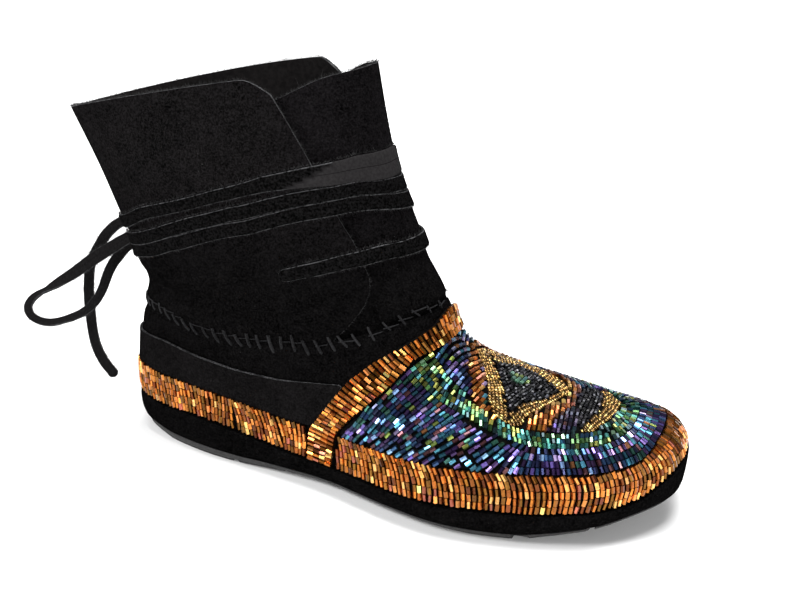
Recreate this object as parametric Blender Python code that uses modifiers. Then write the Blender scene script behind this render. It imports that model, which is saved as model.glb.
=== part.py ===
"""Beaded ankle boot, a right shoe, as an assembly of named solids.

Run with: blender --background --python part.py
Tables and sizes are in millimetres and are turned to metres when a mesh is written.
+X runs from heel to toe, +Z is up, the lateral (outer) side is -Y and the medial side +Y.
X in the tables is measured from the back of the heel; the model's origin is under its middle.
"""
import math
from bisect import bisect_right
from collections import namedtuple
from functools import lru_cache

import bmesh
import bpy
from mathutils import Matrix, Vector

MM = 0.001
ORIGIN_X = 116.5       # heel-based place of the model's origin
ORIGIN_Y = -1.8
COLUMNS = 48           # facets around a full loop of the boot
CLEARANCE = 0.3        # gap between neighbouring solids

# ---------------------------------------------------------------- driving sizes
UPPER_WALL = 2.0
PANEL_WALL = 1.6
PANEL_RECESS = 2.7     # outer face of the front panel behind the upper's outer face
PANEL_FOOT = 9.4       # level row where the front panel starts, tucked behind the whip line
PANEL_TUCK = 0.5       # how far round the front panel reaches under each flap
RAND_THICK = 2.2
BAND_THICK = 2.6
VAMP_THICK = 2.0
FOXING_THICK = 1.2
RAND_FOOT = 0.1        # level row where the bead rand starts, clear of the midsole
ABOVE_RAND = 2.08      # and where the pieces above it start
SOLE_THICK = 4.8
GROOVE_DEPTH = 2.6
INSOLE_THICK = 3.0
INSOLE_INSET = 2.9
MIDSOLE_OUT = 2.5      # the wrapped midsole stands out this far from the upper's foot
TIE_THICK = 1.6
TIE_GAP = 0.6          # the tie lies this far off the flaps and off the front panel
TIE_STEP_DOWN = (0.81, 0.88)   # reaches between which the tie drops from flap to front panel
CORD_RADIUS = 2.4
KNOT_SIZE = (15.0, 10.0, 13.0)

# Plan of the foot: half widths either side of the ridge line, and where that line runs.
Station = namedtuple("Station", "name x lateral medial ridge")
PLAN = (
    Station("heel_back", 0, 29.0, 28.5, 0),
    Station("heel_seat", 34, 29.5, 29.0, 0),
    Station("waist", 100, 34.0, 27.0, 1),
    Station("ball", 172, 52.0, 40.5, 4),
    Station("toe_joint", 222, 53.0, 36.0, 10),
    Station("toe_tip", 258, 36.0, 28.0, 19),
)

# Loops of the upper's outer face, from the sole to the collar. foot weighs the plan above
# against the shaft's own half width; round_back and round_front are 1 for an ellipse and
# smaller for a blunter end.
Level = namedtuple(
    "Level", "name x_back x_front z_back z_waist z_ball z_front foot shaft_half round_back round_front")
LEVELS = (
    Level("feather", 2.6, 254.0, 20.0, 14.5, 15.0, 18.5, 1.00, 33, 0.60, 0.48),
    Level("rand_mid", 1.4, 255.4, 28.0, 22.5, 23.5, 26.5, 1.02, 33, 0.60, 0.48),
    Level("rand_top", 1.8, 251.5, 36.0, 30.5, 32.0, 34.0, 0.99, 33, 0.60, 0.48),
    Level("toe_edge", 2.0, 247.0, 40.0, 35.0, 34.6, 37.0, 0.96, 33, 0.62, 0.50),
    Level("toe_top", 2.2, 240.0, 43.5, 39.0, 36.6, 38.9, 0.92, 33, 0.64, 0.54),
    Level("vamp_front", 2.5, 227.0, 47.0, 42.6, 39.4, 41.3, 0.88, 33, 0.66, 0.58),
    Level("vamp_mid", 2.9, 205.0, 51.0, 46.4, 43.2, 45.4, 0.80, 33, 0.68, 0.62),
    Level("vamp_back", 3.4, 184.5, 55.5, 50.5, 47.8, 49.5, 0.66, 33, 0.72, 0.66),
    Level("instep_low", 4.2, 169.5, 59.5, 54.6, 53.2, 55.2, 0.46, 33, 0.76, 0.70),
    Level("instep", 5.6, 158.5, 62.5, 58.2, 60.0, 65.4, 0.24, 33, 0.78, 0.76),
    Level("whip_line", 7.0, 152.6, 65.5, 62.0, 68.6, 83.0, 0.00, 33, 0.80, 0.80),
    Level("ankle_dent", 9.2, 147.0, 80.0, 78.0, 87.0, 100.0, 0.00, 34, 0.80, 0.84),
    Level("ankle_bulge", 4.8, 140.8, 91.0, 92.0, 102.0, 114.0, 0.00, 36, 0.80, 0.84),
    Level("tie_line", -4.0, 131.4, 105.0, 112.0, 124.0, 136.0, 0.00, 36.5, 0.84, 0.84),
    Level("shaft", -14.5, 124.8, 128.0, 138.0, 149.0, 157.0, 0.00, 38, 0.86, 0.86),
    Level("collar", -25.0, 119.6, 153.0, 166.0, 175.0, 181.0, 0.00, 39.5, 0.88, 0.86),
)
MEDIAL_LIFT = 2.5      # the collar stands this much higher on the medial side
LIFT_FROM = 12         # level row where that lift starts
WHIP = [level.name for level in LEVELS].index("whip_line")
COLLAR = len(LEVELS) - 1
Z_STATIONS = (0.0, 0.38, 0.70, 1.0)    # shares of a loop's length for back, waist, ball and front
STEP_ROW = 0.05        # steps along and round the surface for its normal
STEP_ROUND = 0.008


# ---------------------------------------------------------------- the last's surface
def smooth(stations, values, at):
    """Monotone cubic through a short table, held level past both ends."""
    if at <= stations[0]:
        return values[0]
    if at >= stations[-1]:
        return values[-1]
    slopes = [(values[i + 1] - values[i]) / (stations[i + 1] - stations[i])
              for i in range(len(stations) - 1)]
    tangents = [slopes[0]]
    for left, right in zip(slopes, slopes[1:]):
        tangents.append(2 * left * right / (left + right) if left * right > 0 else 0.0)
    tangents.append(slopes[-1])
    i = min(bisect_right(stations, at), len(stations) - 1) - 1
    step = stations[i + 1] - stations[i]
    f = (at - stations[i]) / step
    return (values[i] * (1 + 2 * f) * (1 - f) ** 2 + tangents[i] * step * f * (1 - f) ** 2
            + values[i + 1] * f * f * (3 - 2 * f) - tangents[i + 1] * step * f * f * (1 - f))


def plan_at(x):
    """Lateral half width, medial half width and ridge of the foot's plan at x."""
    stations = [row.x for row in PLAN]
    return tuple(smooth(stations, [getattr(row, field) for row in PLAN], x)
                 for field in ("lateral", "medial", "ridge"))


@lru_cache(maxsize=None)
def level_at(v):
    """The level table read at a fractional row number."""
    rows = range(len(LEVELS))
    numbers = [smooth(rows, [level[field] for level in LEVELS], v)
               for field in range(1, len(Level._fields))]
    return Level("", *numbers)


def loop_point(level, turn, side):
    """A point of one loop: turn is 0 at the heel and pi at the toe, side -1 lateral, 1 medial."""
    along = (1 - math.cos(turn)) / 2
    x = level.x_back + (level.x_front - level.x_back) * along
    lateral, medial, ridge = plan_at(x)
    half = lateral if side < 0 else medial
    half = level.foot * half + (1 - level.foot) * level.shaft_half
    blunt = level.round_back + (level.round_front - level.round_back) * along
    heights = (level.z_back, level.z_waist, level.z_ball, level.z_front)
    y = min(level.foot, 1) * ridge + side * half * max(math.sin(turn), 0.0) ** blunt
    return Vector((x, y, smooth(Z_STATIONS, heights, along)))


@lru_cache(maxsize=None)
def loop_lengths(v, side, samples=96):
    """Turns of one side of a loop and the share of its length reached at each."""
    level = level_at(v)
    turns = [math.pi * ((1 - math.cos(math.pi * i / samples)) / 2) for i in range(samples + 1)]
    points = [loop_point(level, turn, side) for turn in turns]
    lengths = [0.0]
    for before, after in zip(points, points[1:]):
        lengths.append(lengths[-1] + (after - before).length)
    return turns, [length / lengths[-1] for length in lengths]


def bare_skin(v, u):
    """The outer face: v is the level row, u runs -1 (toe) by the lateral side to 0 (heel) to 1."""
    side = -1 if u < 0 else 1
    turns, shares = loop_lengths(v, side)
    share = min(abs(u), 2 - abs(u))
    if abs(u) > 1:
        side = -side
        turns, shares = loop_lengths(v, side)
    i = min(max(bisect_right(shares, share) - 1, 0), len(shares) - 2)
    turn = turns[i] + (turns[i + 1] - turns[i]) * (share - shares[i]) / (shares[i + 1] - shares[i])
    point = loop_point(level_at(v), turn, side)
    if side > 0:
        point.z += smooth((LIFT_FROM, COLLAR), (0, MEDIAL_LIFT), v) * math.sin(turn)
    return point


@lru_cache(maxsize=None)
def skin(v, u, out=0.0):
    """The outer face pushed out along its own normal by out."""
    if out == 0.0:
        return bare_skin(v, u)
    low, high = max(v - STEP_ROW, 0), min(v + STEP_ROW, COLLAR)
    up = bare_skin(high, u) - bare_skin(low, u)
    around = bare_skin(v, u + STEP_ROUND) - bare_skin(v, u - STEP_ROUND)
    return bare_skin(v, u) + up.cross(around).normalized() * out


def row_at_height(u, height, low=WHIP, high=COLLAR):
    """The level row whose loop passes through a height at u."""
    for _ in range(24):
        middle = (low + high) / 2
        if bare_skin(middle, u).z < height:
            low = middle
        else:
            high = middle
    return (low + high) / 2


# ---------------------------------------------------------------- edges and small tables
# The front edge of each side flap, from the whip line up: how far round it reaches.
Edge = namedtuple("Edge", "row reach")
FLAP_EDGE = (
    Edge(10.0, 2 / 3), Edge(10.3, 0.700), Edge(10.6, 0.745), Edge(10.85, 0.778),
    Edge(11.2, 0.797), Edge(11.8, 0.800), Edge(12.5, 0.788), Edge(13.7, 0.758), Edge(15.0, 0.708),
)
FLAP_CORNER = Edge(0.5, 0.62)     # rows cut off the collar's front corner, and where that starts
SHAFT_ROWS = (0.05, 0.10, 0.15, 0.21, 0.29, 0.38, 0.48, 0.60, 0.73, 0.87, 1.0)
LOWER_ROWS = (0, 1, 2, 3, 4, 5, 6, 6.5, 7, 8, 9, 10)
PANEL_ROWS = (0, 0.04, 0.08, 0.15, 0.25, 0.36, 0.48, 0.61, 0.74, 0.87, 1.0)
PANEL_TOP = (Edge(14.45, 0.50), Edge(14.62, 0.70), Edge(14.92, 0.86), Edge(15.0, 1.0))

# Seen from the side: the throat band's two edges and the foxing seam, bottom to top.
Point = namedtuple("Point", "x z")
BEHIND, AHEAD, BELOW, ABOVE = -60, 290, 5, 110    # where the side cutters end, past the boot
CUTTER_HALF = 90
CUTTER_DEPTH = 10
SEAM_HALF = 0.24                                  # half the gap between two overlays
AROUND_TOE = (-1.75, -0.25)                       # reaches of the overlays before they are cut
AROUND_HEEL = (-0.6, 0.6)
FOXING_TOP_ROW = 8
BAND_BACK = (Point(103, BELOW), Point(104.5, 29), Point(110.5, 38), Point(122, 54.5),
             Point(131, 63), Point(142, 70.5), Point(151, 77), Point(156, 88), Point(156, ABOVE))
BAND_FRONT = (Point(115, BELOW), Point(119.5, 32), Point(126, 40), Point(133.5, 47), Point(141.5, 55.5),
              Point(147, 64), Point(156, 69), Point(162, 73), Point(180, 80))
FOXING_TOP = (Point(-12, 51), Point(5, 51.5), Point(26, 52.5), Point(46, 50), Point(66, 48.7),
              Point(90, 49.2), Point(119, 52.2))

# The sole along its length: the ground line, and how far the tread sits in from the sidewall.
Ground = namedtuple("Ground", "x height undercut")
SOLE_LINE = (
    Ground(0, 0.8, 6.5), Ground(16, 0.0, 5.0), Ground(64, 0.0, 4.5), Ground(96, 0.9, 4.5),
    Ground(132, 0.0, 5.5), Ground(204, 0.0, 6.5), Ground(234, 2.4, 4.5), Ground(258, 6.0, 1.5),
)
# The suede sidewall's section: how much of the undercut is taken, and how far up.
Turn = namedtuple("Turn", "name inward rise")
SIDEWALL = (
    Turn("foot", 1.00, 0.0), Turn("under", 0.56, 0.10), Turn("turn", 0.24, 0.30),
    Turn("belly", 0.03, 0.62), Turn("shoulder", 0.0, 0.88), Turn("top", 0.10, 1.0),
)
# The rubber's section: how far each level sits in from the tread line, and its height.
Rim = namedtuple("Rim", "inset rise")
SOLE_SECTION = (Rim(1.0, 0.0), Rim(0.2, 1.2), Rim(-0.5, SOLE_THICK - 1.0), Rim(0.0, SOLE_THICK))
Groove = namedtuple("Groove", "x width slant")
GROOVES = (Groove(60, 2.4, 8), Groove(88, 2.6, 6), Groove(113, 3.0, 4), Groove(204, 6.5, -6),
           Groove(232, 2.6, -10))

# The tie: one thong wound four times. turn counts half loops from the lateral side, in u.
TieStep = namedtuple("TieStep", "turn height width")
TIE_ROUTE = (
    TieStep(-0.60, 97.4, 5.6), TieStep(-0.78, 106.2, 5.6), TieStep(-1.0, 108.4, 5.6),
    TieStep(-1.4, 101.5, 6.0), TieStep(-1.75, 92.5, 6.0), TieStep(-2.0, 89.0, 6.0),
    TieStep(-2.1, 91.5, 6.0), TieStep(-2.45, 110.6, 5.8), TieStep(-2.6, 118.2, 6.0),
    TieStep(-2.72, 123.3, 6.2), TieStep(-2.86, 127.8, 6.2), TieStep(-3.0, 125.6, 6.6),
    TieStep(-3.4, 115.5, 6.2), TieStep(-3.75, 100.5, 6.0), TieStep(-4.0, 95.6, 6.0),
    TieStep(-4.1, 98.2, 6.0), TieStep(-4.45, 117.0, 5.8), TieStep(-4.6, 124.8, 6.0),
    TieStep(-4.72, 129.8, 5.8), TieStep(-4.86, 134.2, 5.6), TieStep(-5.0, 132.6, 6.2),
    TieStep(-5.4, 122.5, 6.2), TieStep(-5.75, 107.5, 6.0), TieStep(-6.0, 102.4, 6.0),
    TieStep(-6.1, 105.0, 6.0), TieStep(-6.45, 123.8, 6.8), TieStep(-6.6, 132.2, 7.8),
    TieStep(-6.72, 137.4, 8.2), TieStep(-6.86, 141.4, 7.8), TieStep(-7.0, 140.4, 8.6),
    TieStep(-7.4, 131.0, 8.4), TieStep(-7.75, 114.8, 6.4), TieStep(-7.90, 111.2, 6.0),
)
TIE_STEP = 2 / 44

# The bow at the back: heel-based routes from the knot, hung by hand.
BOW = {
    "bow_end_near": ((-9.4, 18.3, 95.2), (-18, 19.5, 93.8), (-26.5, 20, 91), (-35, 21, 84.5),
                     (-43, 21.5, 74.5), (-47.5, 21, 65.5), (-49, 20, 54), (-49, 19.5, 42),
                     (-47.5, 18, 32.5), (-43.5, 15, 23.5), (-36.5, 12, 16), (-28.5, 10, 10.5)),
    "bow_loop_near": ((-8.4, 13.7, 91.5), (-16, 12.5, 86.8), (-26, 12.5, 80.5), (-37, 13, 73.5),
                      (-54, 14, 61.5), (-71.5, 15, 50.5), (-82, 15, 43.5), (-85, 14, 38),
                      (-81.5, 13, 33.5), (-71.5, 12, 32.5), (-59, 11, 36.5), (-47, 11, 42.5),
                      (-39.5, 11.5, 49), (-35, 13, 56.5), (-33, 15.5, 64), (-30.5, 18.5, 70.5),
                      (-25, 20.5, 77.5), (-17.5, 21, 84), (-9.2, 19.8, 90.2)),
    "bow_loop_far": ((-5.8, 23.4, 99.4), (-8, 33, 97.5), (-6.5, 44, 88), (-3, 56, 73), (2, 64, 56),
                     (7, 67, 44), (12, 64, 38), (14, 57, 42), (13, 49, 55), (10, 41, 70),
                     (5.4, 33, 81), (0.8, 25.8, 90)),
    "bow_end_far": ((-5.4, 22.8, 91.4), (-5.4, 30, 81.5), (-1, 36.5, 68), (6, 39, 53), (10, 39.5, 40),
                    (11, 40, 29), (10, 41, 20)),
}
KNOT = (-3.2, 17.0, 96.0)

Finish = namedtuple("Finish", "colour roughness metallic")
SUEDE = Finish((0.012, 0.012, 0.013, 1), 0.95, 0.0)
LINING = Finish((0.03, 0.028, 0.027, 1), 0.85, 0.0)
RUBBER = Finish((0.035, 0.035, 0.036, 1), 0.7, 0.0)
COPPER_BEADS = Finish((0.50, 0.19, 0.05, 1), 0.25, 0.6)
DARK_BEADS = Finish((0.05, 0.09, 0.16, 1), 0.2, 0.5)


# ---------------------------------------------------------------- Blender helpers
def new_collection(name):
    """A collection linked to the scene."""
    collection = bpy.data.collections.new(name)
    bpy.context.scene.collection.children.link(collection)
    return collection


def metres(point):
    """A heel-based point in millimetres as a world point in metres."""
    return (Vector(point) - Vector((ORIGIN_X, ORIGIN_Y, 0))) * MM


def finish_material(name, finish):
    """The piece's own Principled material."""
    material = bpy.data.materials.new(name)
    material.use_nodes = True
    shader = material.node_tree.nodes["Principled BSDF"]
    shader.inputs["Base Color"].default_value = finish.colour
    shader.inputs["Roughness"].default_value = finish.roughness
    shader.inputs["Metallic"].default_value = finish.metallic
    material.diffuse_color = finish.colour
    return material


def add_object(name, data, collection, finish):
    """An object with its own material."""
    thing = bpy.data.objects.new(name, data)
    collection.objects.link(thing)
    data.materials.append(finish_material(name, finish))
    return thing


def mesh_from(name, points, faces):
    """A smooth-shaded mesh from heel-based points."""
    mesh = bpy.data.meshes.new(name)
    mesh.from_pydata([metres(point) for point in points], [], faces)
    mesh.validate()
    mesh.shade_smooth()
    mesh.set_sharp_from_angle(angle=math.radians(40))
    return mesh


def strip_faces(lower, upper, closed):
    """Triangles between two rows of vertex numbers, facing out, all split the same way."""
    count = len(lower) if closed else len(lower) - 1
    faces = []
    for i in range(count):
        following = (i + 1) % len(lower)
        faces.append((lower[i], upper[i], upper[following]))
        faces.append((lower[i], upper[following], lower[following]))
    return faces


def shell(name, rows, thickness, collection, finish, outward=True):
    """Rows of points as an open surface with a Solidify wall."""
    points = [point for row in rows for point in row]
    numbers = []
    for row in rows:
        start = numbers[-1][-1] + 1 if numbers else 0
        numbers.append(list(range(start, start + len(row))))
    faces = []
    for lower, upper in zip(numbers, numbers[1:]):
        faces += strip_faces(lower, upper, closed=False)
    thing = add_object(name, mesh_from(name, points, faces), collection, finish)
    add_wall(thing, thickness, outward)
    return thing


def add_wall(thing, thickness, outward):
    """Solidify to one side of the surface."""
    wall = thing.modifiers.new("wall", "SOLIDIFY")
    wall.thickness = thickness * MM
    wall.offset = 1 if outward else -1
    wall.use_even_offset = True
    wall.thickness_clamp = 0


def lofted_solid(name, rings, collection, finish):
    """Closed rings, bottom first, with strip caps that run across the foot."""
    count = len(rings[0])
    points = [point for ring in rings for point in ring]
    numbers = [list(range(i * count, (i + 1) * count)) for i in range(len(rings))]
    faces = []
    for lower, upper in zip(numbers, numbers[1:]):
        faces += strip_faces(lower, upper, closed=True)
    half = count // 2
    for ring, flip in ((numbers[0], True), (numbers[-1], False)):
        for i in range(half):
            cap = [ring[half - i], ring[half - i - 1], ring[(half + i + 1) % count], ring[(half + i) % count]]
            cap = list(dict.fromkeys(cap))
            faces.append(cap[::-1] if flip else cap)
    return add_object(name, mesh_from(name, points, faces), collection, finish)


def side_prism(name, outline, cutters):
    """A cutter from a side outline, run right across the boot."""
    mesh = bpy.data.meshes.new(name)
    form = bmesh.new()
    near = [form.verts.new(metres((x, -CUTTER_HALF, z))) for x, z in outline]
    face = form.faces.new(near)
    far = bmesh.ops.extrude_face_region(form, geom=[face])
    moved = [item for item in far["geom"] if isinstance(item, bmesh.types.BMVert)]
    bmesh.ops.translate(form, verts=moved, vec=(0, 2 * CUTTER_HALF * MM, 0))
    bmesh.ops.recalc_face_normals(form, faces=form.faces)
    form.to_mesh(mesh)
    form.free()
    return hide_cutter(bpy.data.objects.new(name, mesh), cutters)


def hide_cutter(cutter, cutters):
    """Keep a cutter out of the renders and the build."""
    if cutter.name not in cutters.objects:
        cutters.objects.link(cutter)
    cutter.display_type = "WIRE"
    cutter.hide_render = True
    return cutter


def cut(thing, cutter, operation):
    """A Boolean with the exact solver."""
    boolean = thing.modifiers.new(operation.lower(), "BOOLEAN")
    boolean.operation = operation
    boolean.object = cutter
    boolean.solver = "EXACT"


# ---------------------------------------------------------------- sub-parts
def columns(low=-1.0, high=1.0):
    """Column values on the boot's shared grid between two reaches, ends included."""
    first = math.ceil((low + 1e-6) * COLUMNS / 2)
    last = math.floor((high - 1e-6) * COLUMNS / 2)
    return [low] + [2 * i / COLUMNS for i in range(first, last + 1)] + [high]


def full_loop():
    """Column values once round the boot, from the toe by the lateral side."""
    return [-1 + 2 * i / COLUMNS for i in range(COLUMNS)]


def foot_ring(offset_at, height_at):
    """The foot's outline, moved out by offset_at(x), at the height height_at(x)."""
    ring = []
    for u in full_loop():
        around = bare_skin(0, u + STEP_ROUND) - bare_skin(0, u - STEP_ROUND)
        outward = Vector((around.y, -around.x, 0)).normalized() * -1
        base = bare_skin(0, u)
        place = base + outward * offset_at(base.x)
        ring.append(Vector((place.x, place.y, height_at(place.x))))
    return ring


def sole_value(field, x):
    """A column of SOLE_LINE at x."""
    return smooth([row.x for row in SOLE_LINE], [getattr(row, field) for row in SOLE_LINE], x)


def feather_height(x):
    """Height of the upper's bottom edge at x."""
    level = LEVELS[0]
    along = (x - level.x_back) / (level.x_front - level.x_back)
    heights = (level.z_back, level.z_waist, level.z_ball, level.z_front)
    return smooth(Z_STATIONS, heights, min(max(along, 0), 1))


def make_outsole(parts, cutters):
    """Rubber plate with cross grooves cut up from the ground."""
    def ring(rim):
        return foot_ring(lambda x: MIDSOLE_OUT - sole_value("undercut", x) - rim.inset,
                         lambda x: sole_value("height", x) + rim.rise)
    sole = lofted_solid("outsole", [ring(rim) for rim in SOLE_SECTION], parts, RUBBER)
    for number, groove in enumerate(GROOVES, start=1):
        top = sole_value("height", groove.x) + GROOVE_DEPTH
        bpy.ops.mesh.primitive_cube_add(size=1)
        cutter = bpy.context.active_object
        cutter.name = f"groove_cutter_{number}"
        cutter.data.transform(metre_scale((groove.width, 2 * CUTTER_HALF, CUTTER_DEPTH)))
        cutter.location = metres((groove.x, 0, top - CUTTER_DEPTH / 2))
        cutter.rotation_euler.z = math.radians(groove.slant)
        for home in list(cutter.users_collection):
            home.objects.unlink(cutter)
        hide_cutter(cutter, cutters)
        cut(sole, cutter, "DIFFERENCE")
    return sole


def metre_scale(size):
    """A scale matrix from a size in millimetres."""
    return Matrix.Diagonal((*(length * MM for length in size), 1))


def make_midsole(parts):
    """Suede-wrapped midsole, rounded under, with a ledge for the bead rand."""
    def ring(turn):
        def height(x):
            low = sole_value("height", x) + SOLE_THICK + CLEARANCE
            high = feather_height(x) - CLEARANCE
            return low + turn.rise * (high - low)
        return foot_ring(lambda x: MIDSOLE_OUT - turn.inward * sole_value("undercut", x), height)
    return lofted_solid("wrapped_midsole", [ring(turn) for turn in SIDEWALL], parts, SUEDE)


def make_insole(parts):
    """Insole board and sock on top of the midsole, inside the upper."""
    rings = [foot_ring(lambda x: -INSOLE_INSET, lambda x, lift=lift: feather_height(x) + lift)
             for lift in (0, INSOLE_THICK)]
    return lofted_solid("insole", rings, parts, LINING)


def flap_reach(row):
    """How far round each flap's front edge is at a level row."""
    return smooth([edge.row for edge in FLAP_EDGE], [edge.reach for edge in FLAP_EDGE], row)


def make_upper(parts):
    """Lower boot and shaft in one wall, open at the collar, down the front and underneath."""
    loop = full_loop()
    points = [skin(row, u) for row in LOWER_ROWS for u in loop]
    numbers = [list(range(i * COLUMNS, (i + 1) * COLUMNS)) for i in range(len(LOWER_ROWS))]
    faces = []
    for lower, upper in zip(numbers, numbers[1:]):
        faces += strip_faces(lower, upper, closed=True)

    root = FLAP_EDGE[0].reach
    kept = [i for i, u in enumerate(loop) if abs(u) <= root + 1e-6]
    below = [numbers[-1][i] for i in kept]
    for share in SHAFT_ROWS:
        current = []
        for i in kept:
            spread = loop[i] / root
            corner = max(0, abs(spread) * FLAP_EDGE[-1].reach - FLAP_CORNER.reach)
            corner /= FLAP_EDGE[-1].reach - FLAP_CORNER.reach
            row = WHIP + share * (COLLAR - FLAP_CORNER.row * corner ** 2 - WHIP)
            current.append(len(points))
            points.append(skin(row, spread * flap_reach(row)))
        faces += strip_faces(below, current, closed=False)
        below = current
    upper = add_object("upper", mesh_from("upper", points, faces), parts, SUEDE)
    add_wall(upper, UPPER_WALL, outward=False)
    return upper


def make_front_panel(parts):
    """Tongue-like panel up the front, its foot and sides tucked inside the upper."""
    sides = columns(-2 + PANEL_TUCK, -PANEL_TUCK)
    rows = []
    for share in PANEL_ROWS:
        row = []
        for u in sides:
            reach = min(abs(u), 2 - abs(u))
            top = smooth([edge.reach for edge in PANEL_TOP], [edge.row for edge in PANEL_TOP], reach)
            row.append(skin(PANEL_FOOT + share * (top - PANEL_FOOT), u, -PANEL_RECESS))
        rows.append(row)
    return shell("front_panel", rows, PANEL_WALL, parts, SUEDE, outward=False)


def overlay(name, level_rows, reach, thickness, parts, finish):
    """A skin over the upper, on the upper's own grid."""
    rows = [[skin(row, u, CLEARANCE) for u in columns(*reach)] for row in level_rows]
    return shell(name, rows, thickness, parts, finish)


def shifted(outline, distance):
    """An open side outline moved forward or back by a distance."""
    return tuple(Point(point.x + distance, point.z) for point in outline)


def make_overlays(parts, cutters):
    """Bead rand, throat band, beaded vamp and heel foxing, cut from skins over the upper."""
    lower_rows = [RAND_FOOT, 1, 2]
    upper_rows = [ABOVE_RAND] + [row for row in LOWER_ROWS if row > 2.5]
    full_height = lower_rows + [row for row in LOWER_ROWS if row > 2.5]
    foxing_rows = [row for row in upper_rows if row <= FOXING_TOP_ROW]

    back = shifted(BAND_BACK, -SEAM_HALF)
    front = shifted(BAND_FRONT, SEAM_HALF)
    behind = side_prism("behind_band", back + (Point(BEHIND, ABOVE), Point(BEHIND, BELOW)), cutters)
    ahead = side_prism("ahead_of_band", front + (Point(AHEAD, front[-1].z), Point(AHEAD, BELOW)), cutters)
    between = side_prism("band_outline", shifted(BAND_BACK, SEAM_HALF)
                         + (Point(front[-1].x, ABOVE),) + shifted(BAND_FRONT, -SEAM_HALF)[::-1], cutters)
    foxing_back = tuple(point for point in back if point.z < FOXING_TOP[-1].z)
    foxing_back += FOXING_TOP[::-1] + (Point(FOXING_TOP[0].x, BELOW),)
    low = side_prism("below_foxing_seam", foxing_back, cutters)

    cut(overlay("rear_bead_rand", lower_rows, AROUND_HEEL, RAND_THICK, parts, COPPER_BEADS),
        behind, "INTERSECT")
    cut(overlay("front_bead_rand", lower_rows, AROUND_TOE, RAND_THICK, parts, COPPER_BEADS),
        ahead, "INTERSECT")
    cut(overlay("vamp_beadwork", upper_rows, AROUND_TOE, VAMP_THICK, parts, DARK_BEADS),
        ahead, "INTERSECT")
    cut(overlay("throat_bead_band", full_height, AROUND_TOE, BAND_THICK, parts, COPPER_BEADS),
        between, "INTERSECT")
    cut(overlay("heel_foxing", foxing_rows, AROUND_HEEL, FOXING_THICK, parts, SUEDE),
        low, "INTERSECT")


def tie_value(field, turn):
    """Height or width of the tie at a turn."""
    steps = TIE_ROUTE[::-1]
    return smooth([step.turn for step in steps], [getattr(step, field) for step in steps], turn)


def tie_offset(u):
    """How far off the upper's outer face the tie lies: it follows the panel in front."""
    reach = min(abs(u), 2 - abs(u))
    return TIE_GAP - smooth(TIE_STEP_DOWN, (0, PANEL_RECESS), reach)


def make_tie(parts):
    """The long thong, wound round the shaft from the lateral flap to the knot."""
    start, end = TIE_ROUTE[0].turn, TIE_ROUTE[-1].turn
    count = round((start - end) / TIE_STEP)
    edges = ([], [])
    for i in range(count + 1):
        turn = start + (end - start) * i / count
        u = (turn + 1) % 2 - 1
        half = tie_value("width", turn) / 2
        for edge, height in zip(edges, (-half, half)):
            row = row_at_height(u, tie_value("height", turn) + height)
            edge.append(skin(row, u, tie_offset(u)))
    rows = [edge[::-1] for edge in edges]
    return shell("wrap_tie", rows, TIE_THICK, parts, SUEDE)


def smooth_route(points, spacing):
    """Points read at an even spacing from a Catmull-Rom curve through a route."""
    route = [Vector(point) for point in points]
    padded = [route[0] * 2 - route[1]] + route + [route[-1] * 2 - route[-2]]
    fine = []
    for a, b, c, d in zip(padded, padded[1:], padded[2:], padded[3:]):
        for i in range(12):
            t = i / 12
            fine.append(0.5 * (2 * b + (c - a) * t + (2 * a - 5 * b + 4 * c - d) * t * t
                               + (3 * b - a - 3 * c + d) * t ** 3))
    fine.append(route[-1])
    total = sum((after - before).length for before, after in zip(fine, fine[1:]))
    count = max(2, round(total / spacing))
    read, walked, target = [fine[0]], 0.0, total / count
    for before, after in zip(fine, fine[1:]):
        step = (after - before).length
        while walked + step >= target - 1e-6 and len(read) < count:
            read.append(before.lerp(after, (target - walked) / step))
            target += total / count
        walked += step
    return read + [fine[-1]]


def make_bow(parts):
    """Knot, loops and ends of the tie, as plain cord solids."""
    form = bmesh.new()
    bmesh.ops.create_uvsphere(form, u_segments=12, v_segments=8, radius=0.5 * MM)
    bmesh.ops.scale(form, vec=KNOT_SIZE, verts=form.verts)
    mesh = bpy.data.meshes.new("bow_knot")
    form.to_mesh(mesh)
    form.free()
    mesh.shade_smooth()
    knot = add_object("bow_knot", mesh, parts, SUEDE)
    knot.location = metres(KNOT)
    knot.rotation_euler.z = math.radians(55)
    for name, route in BOW.items():
        curve = bpy.data.curves.new(name, "CURVE")
        curve.dimensions = "3D"
        curve.bevel_depth = CORD_RADIUS * MM
        curve.bevel_resolution = 2
        curve.use_fill_caps = True
        spline = curve.splines.new("POLY")
        points = smooth_route(route, 3.0 * 2 * CORD_RADIUS)
        spline.points.add(len(points) - 1)
        for target, point in zip(spline.points, points):
            target.co = (*metres(point), 1)
        add_object(name, curve, parts, SUEDE)


def main():
    """Build the boot in an emptied scene."""
    for thing in list(bpy.data.objects):
        bpy.data.objects.remove(thing, do_unlink=True)
    parts = new_collection("beaded_ankle_boot")
    cutters = new_collection("cutters")
    make_outsole(parts, cutters)
    make_midsole(parts)
    make_insole(parts)
    make_upper(parts)
    make_front_panel(parts)
    make_overlays(parts, cutters)
    make_tie(parts)
    make_bow(parts)


main()
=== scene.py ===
"""A right beaded ankle boot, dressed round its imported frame.

Black suede, copper and iris beads, a whip stitch, a wound tie and its bow are built over
the same last as the solids. +X runs from heel to toe, +Z is up and the lateral side is -Y.
The tables are in millimetres measured from the back of the heel, as a last maker keeps them,
and are turned to the frame's metres when a mesh is written.
"""

import logging
import math
import time
from dataclasses import dataclass, field
from enum import Enum
from itertools import product
from typing import Callable, Iterable, NamedTuple, Sequence

import bpy
import numpy as np
from bpy.types import Material, Mesh, Node, NodeSocket, Object
from mathutils import Matrix, Vector


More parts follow.
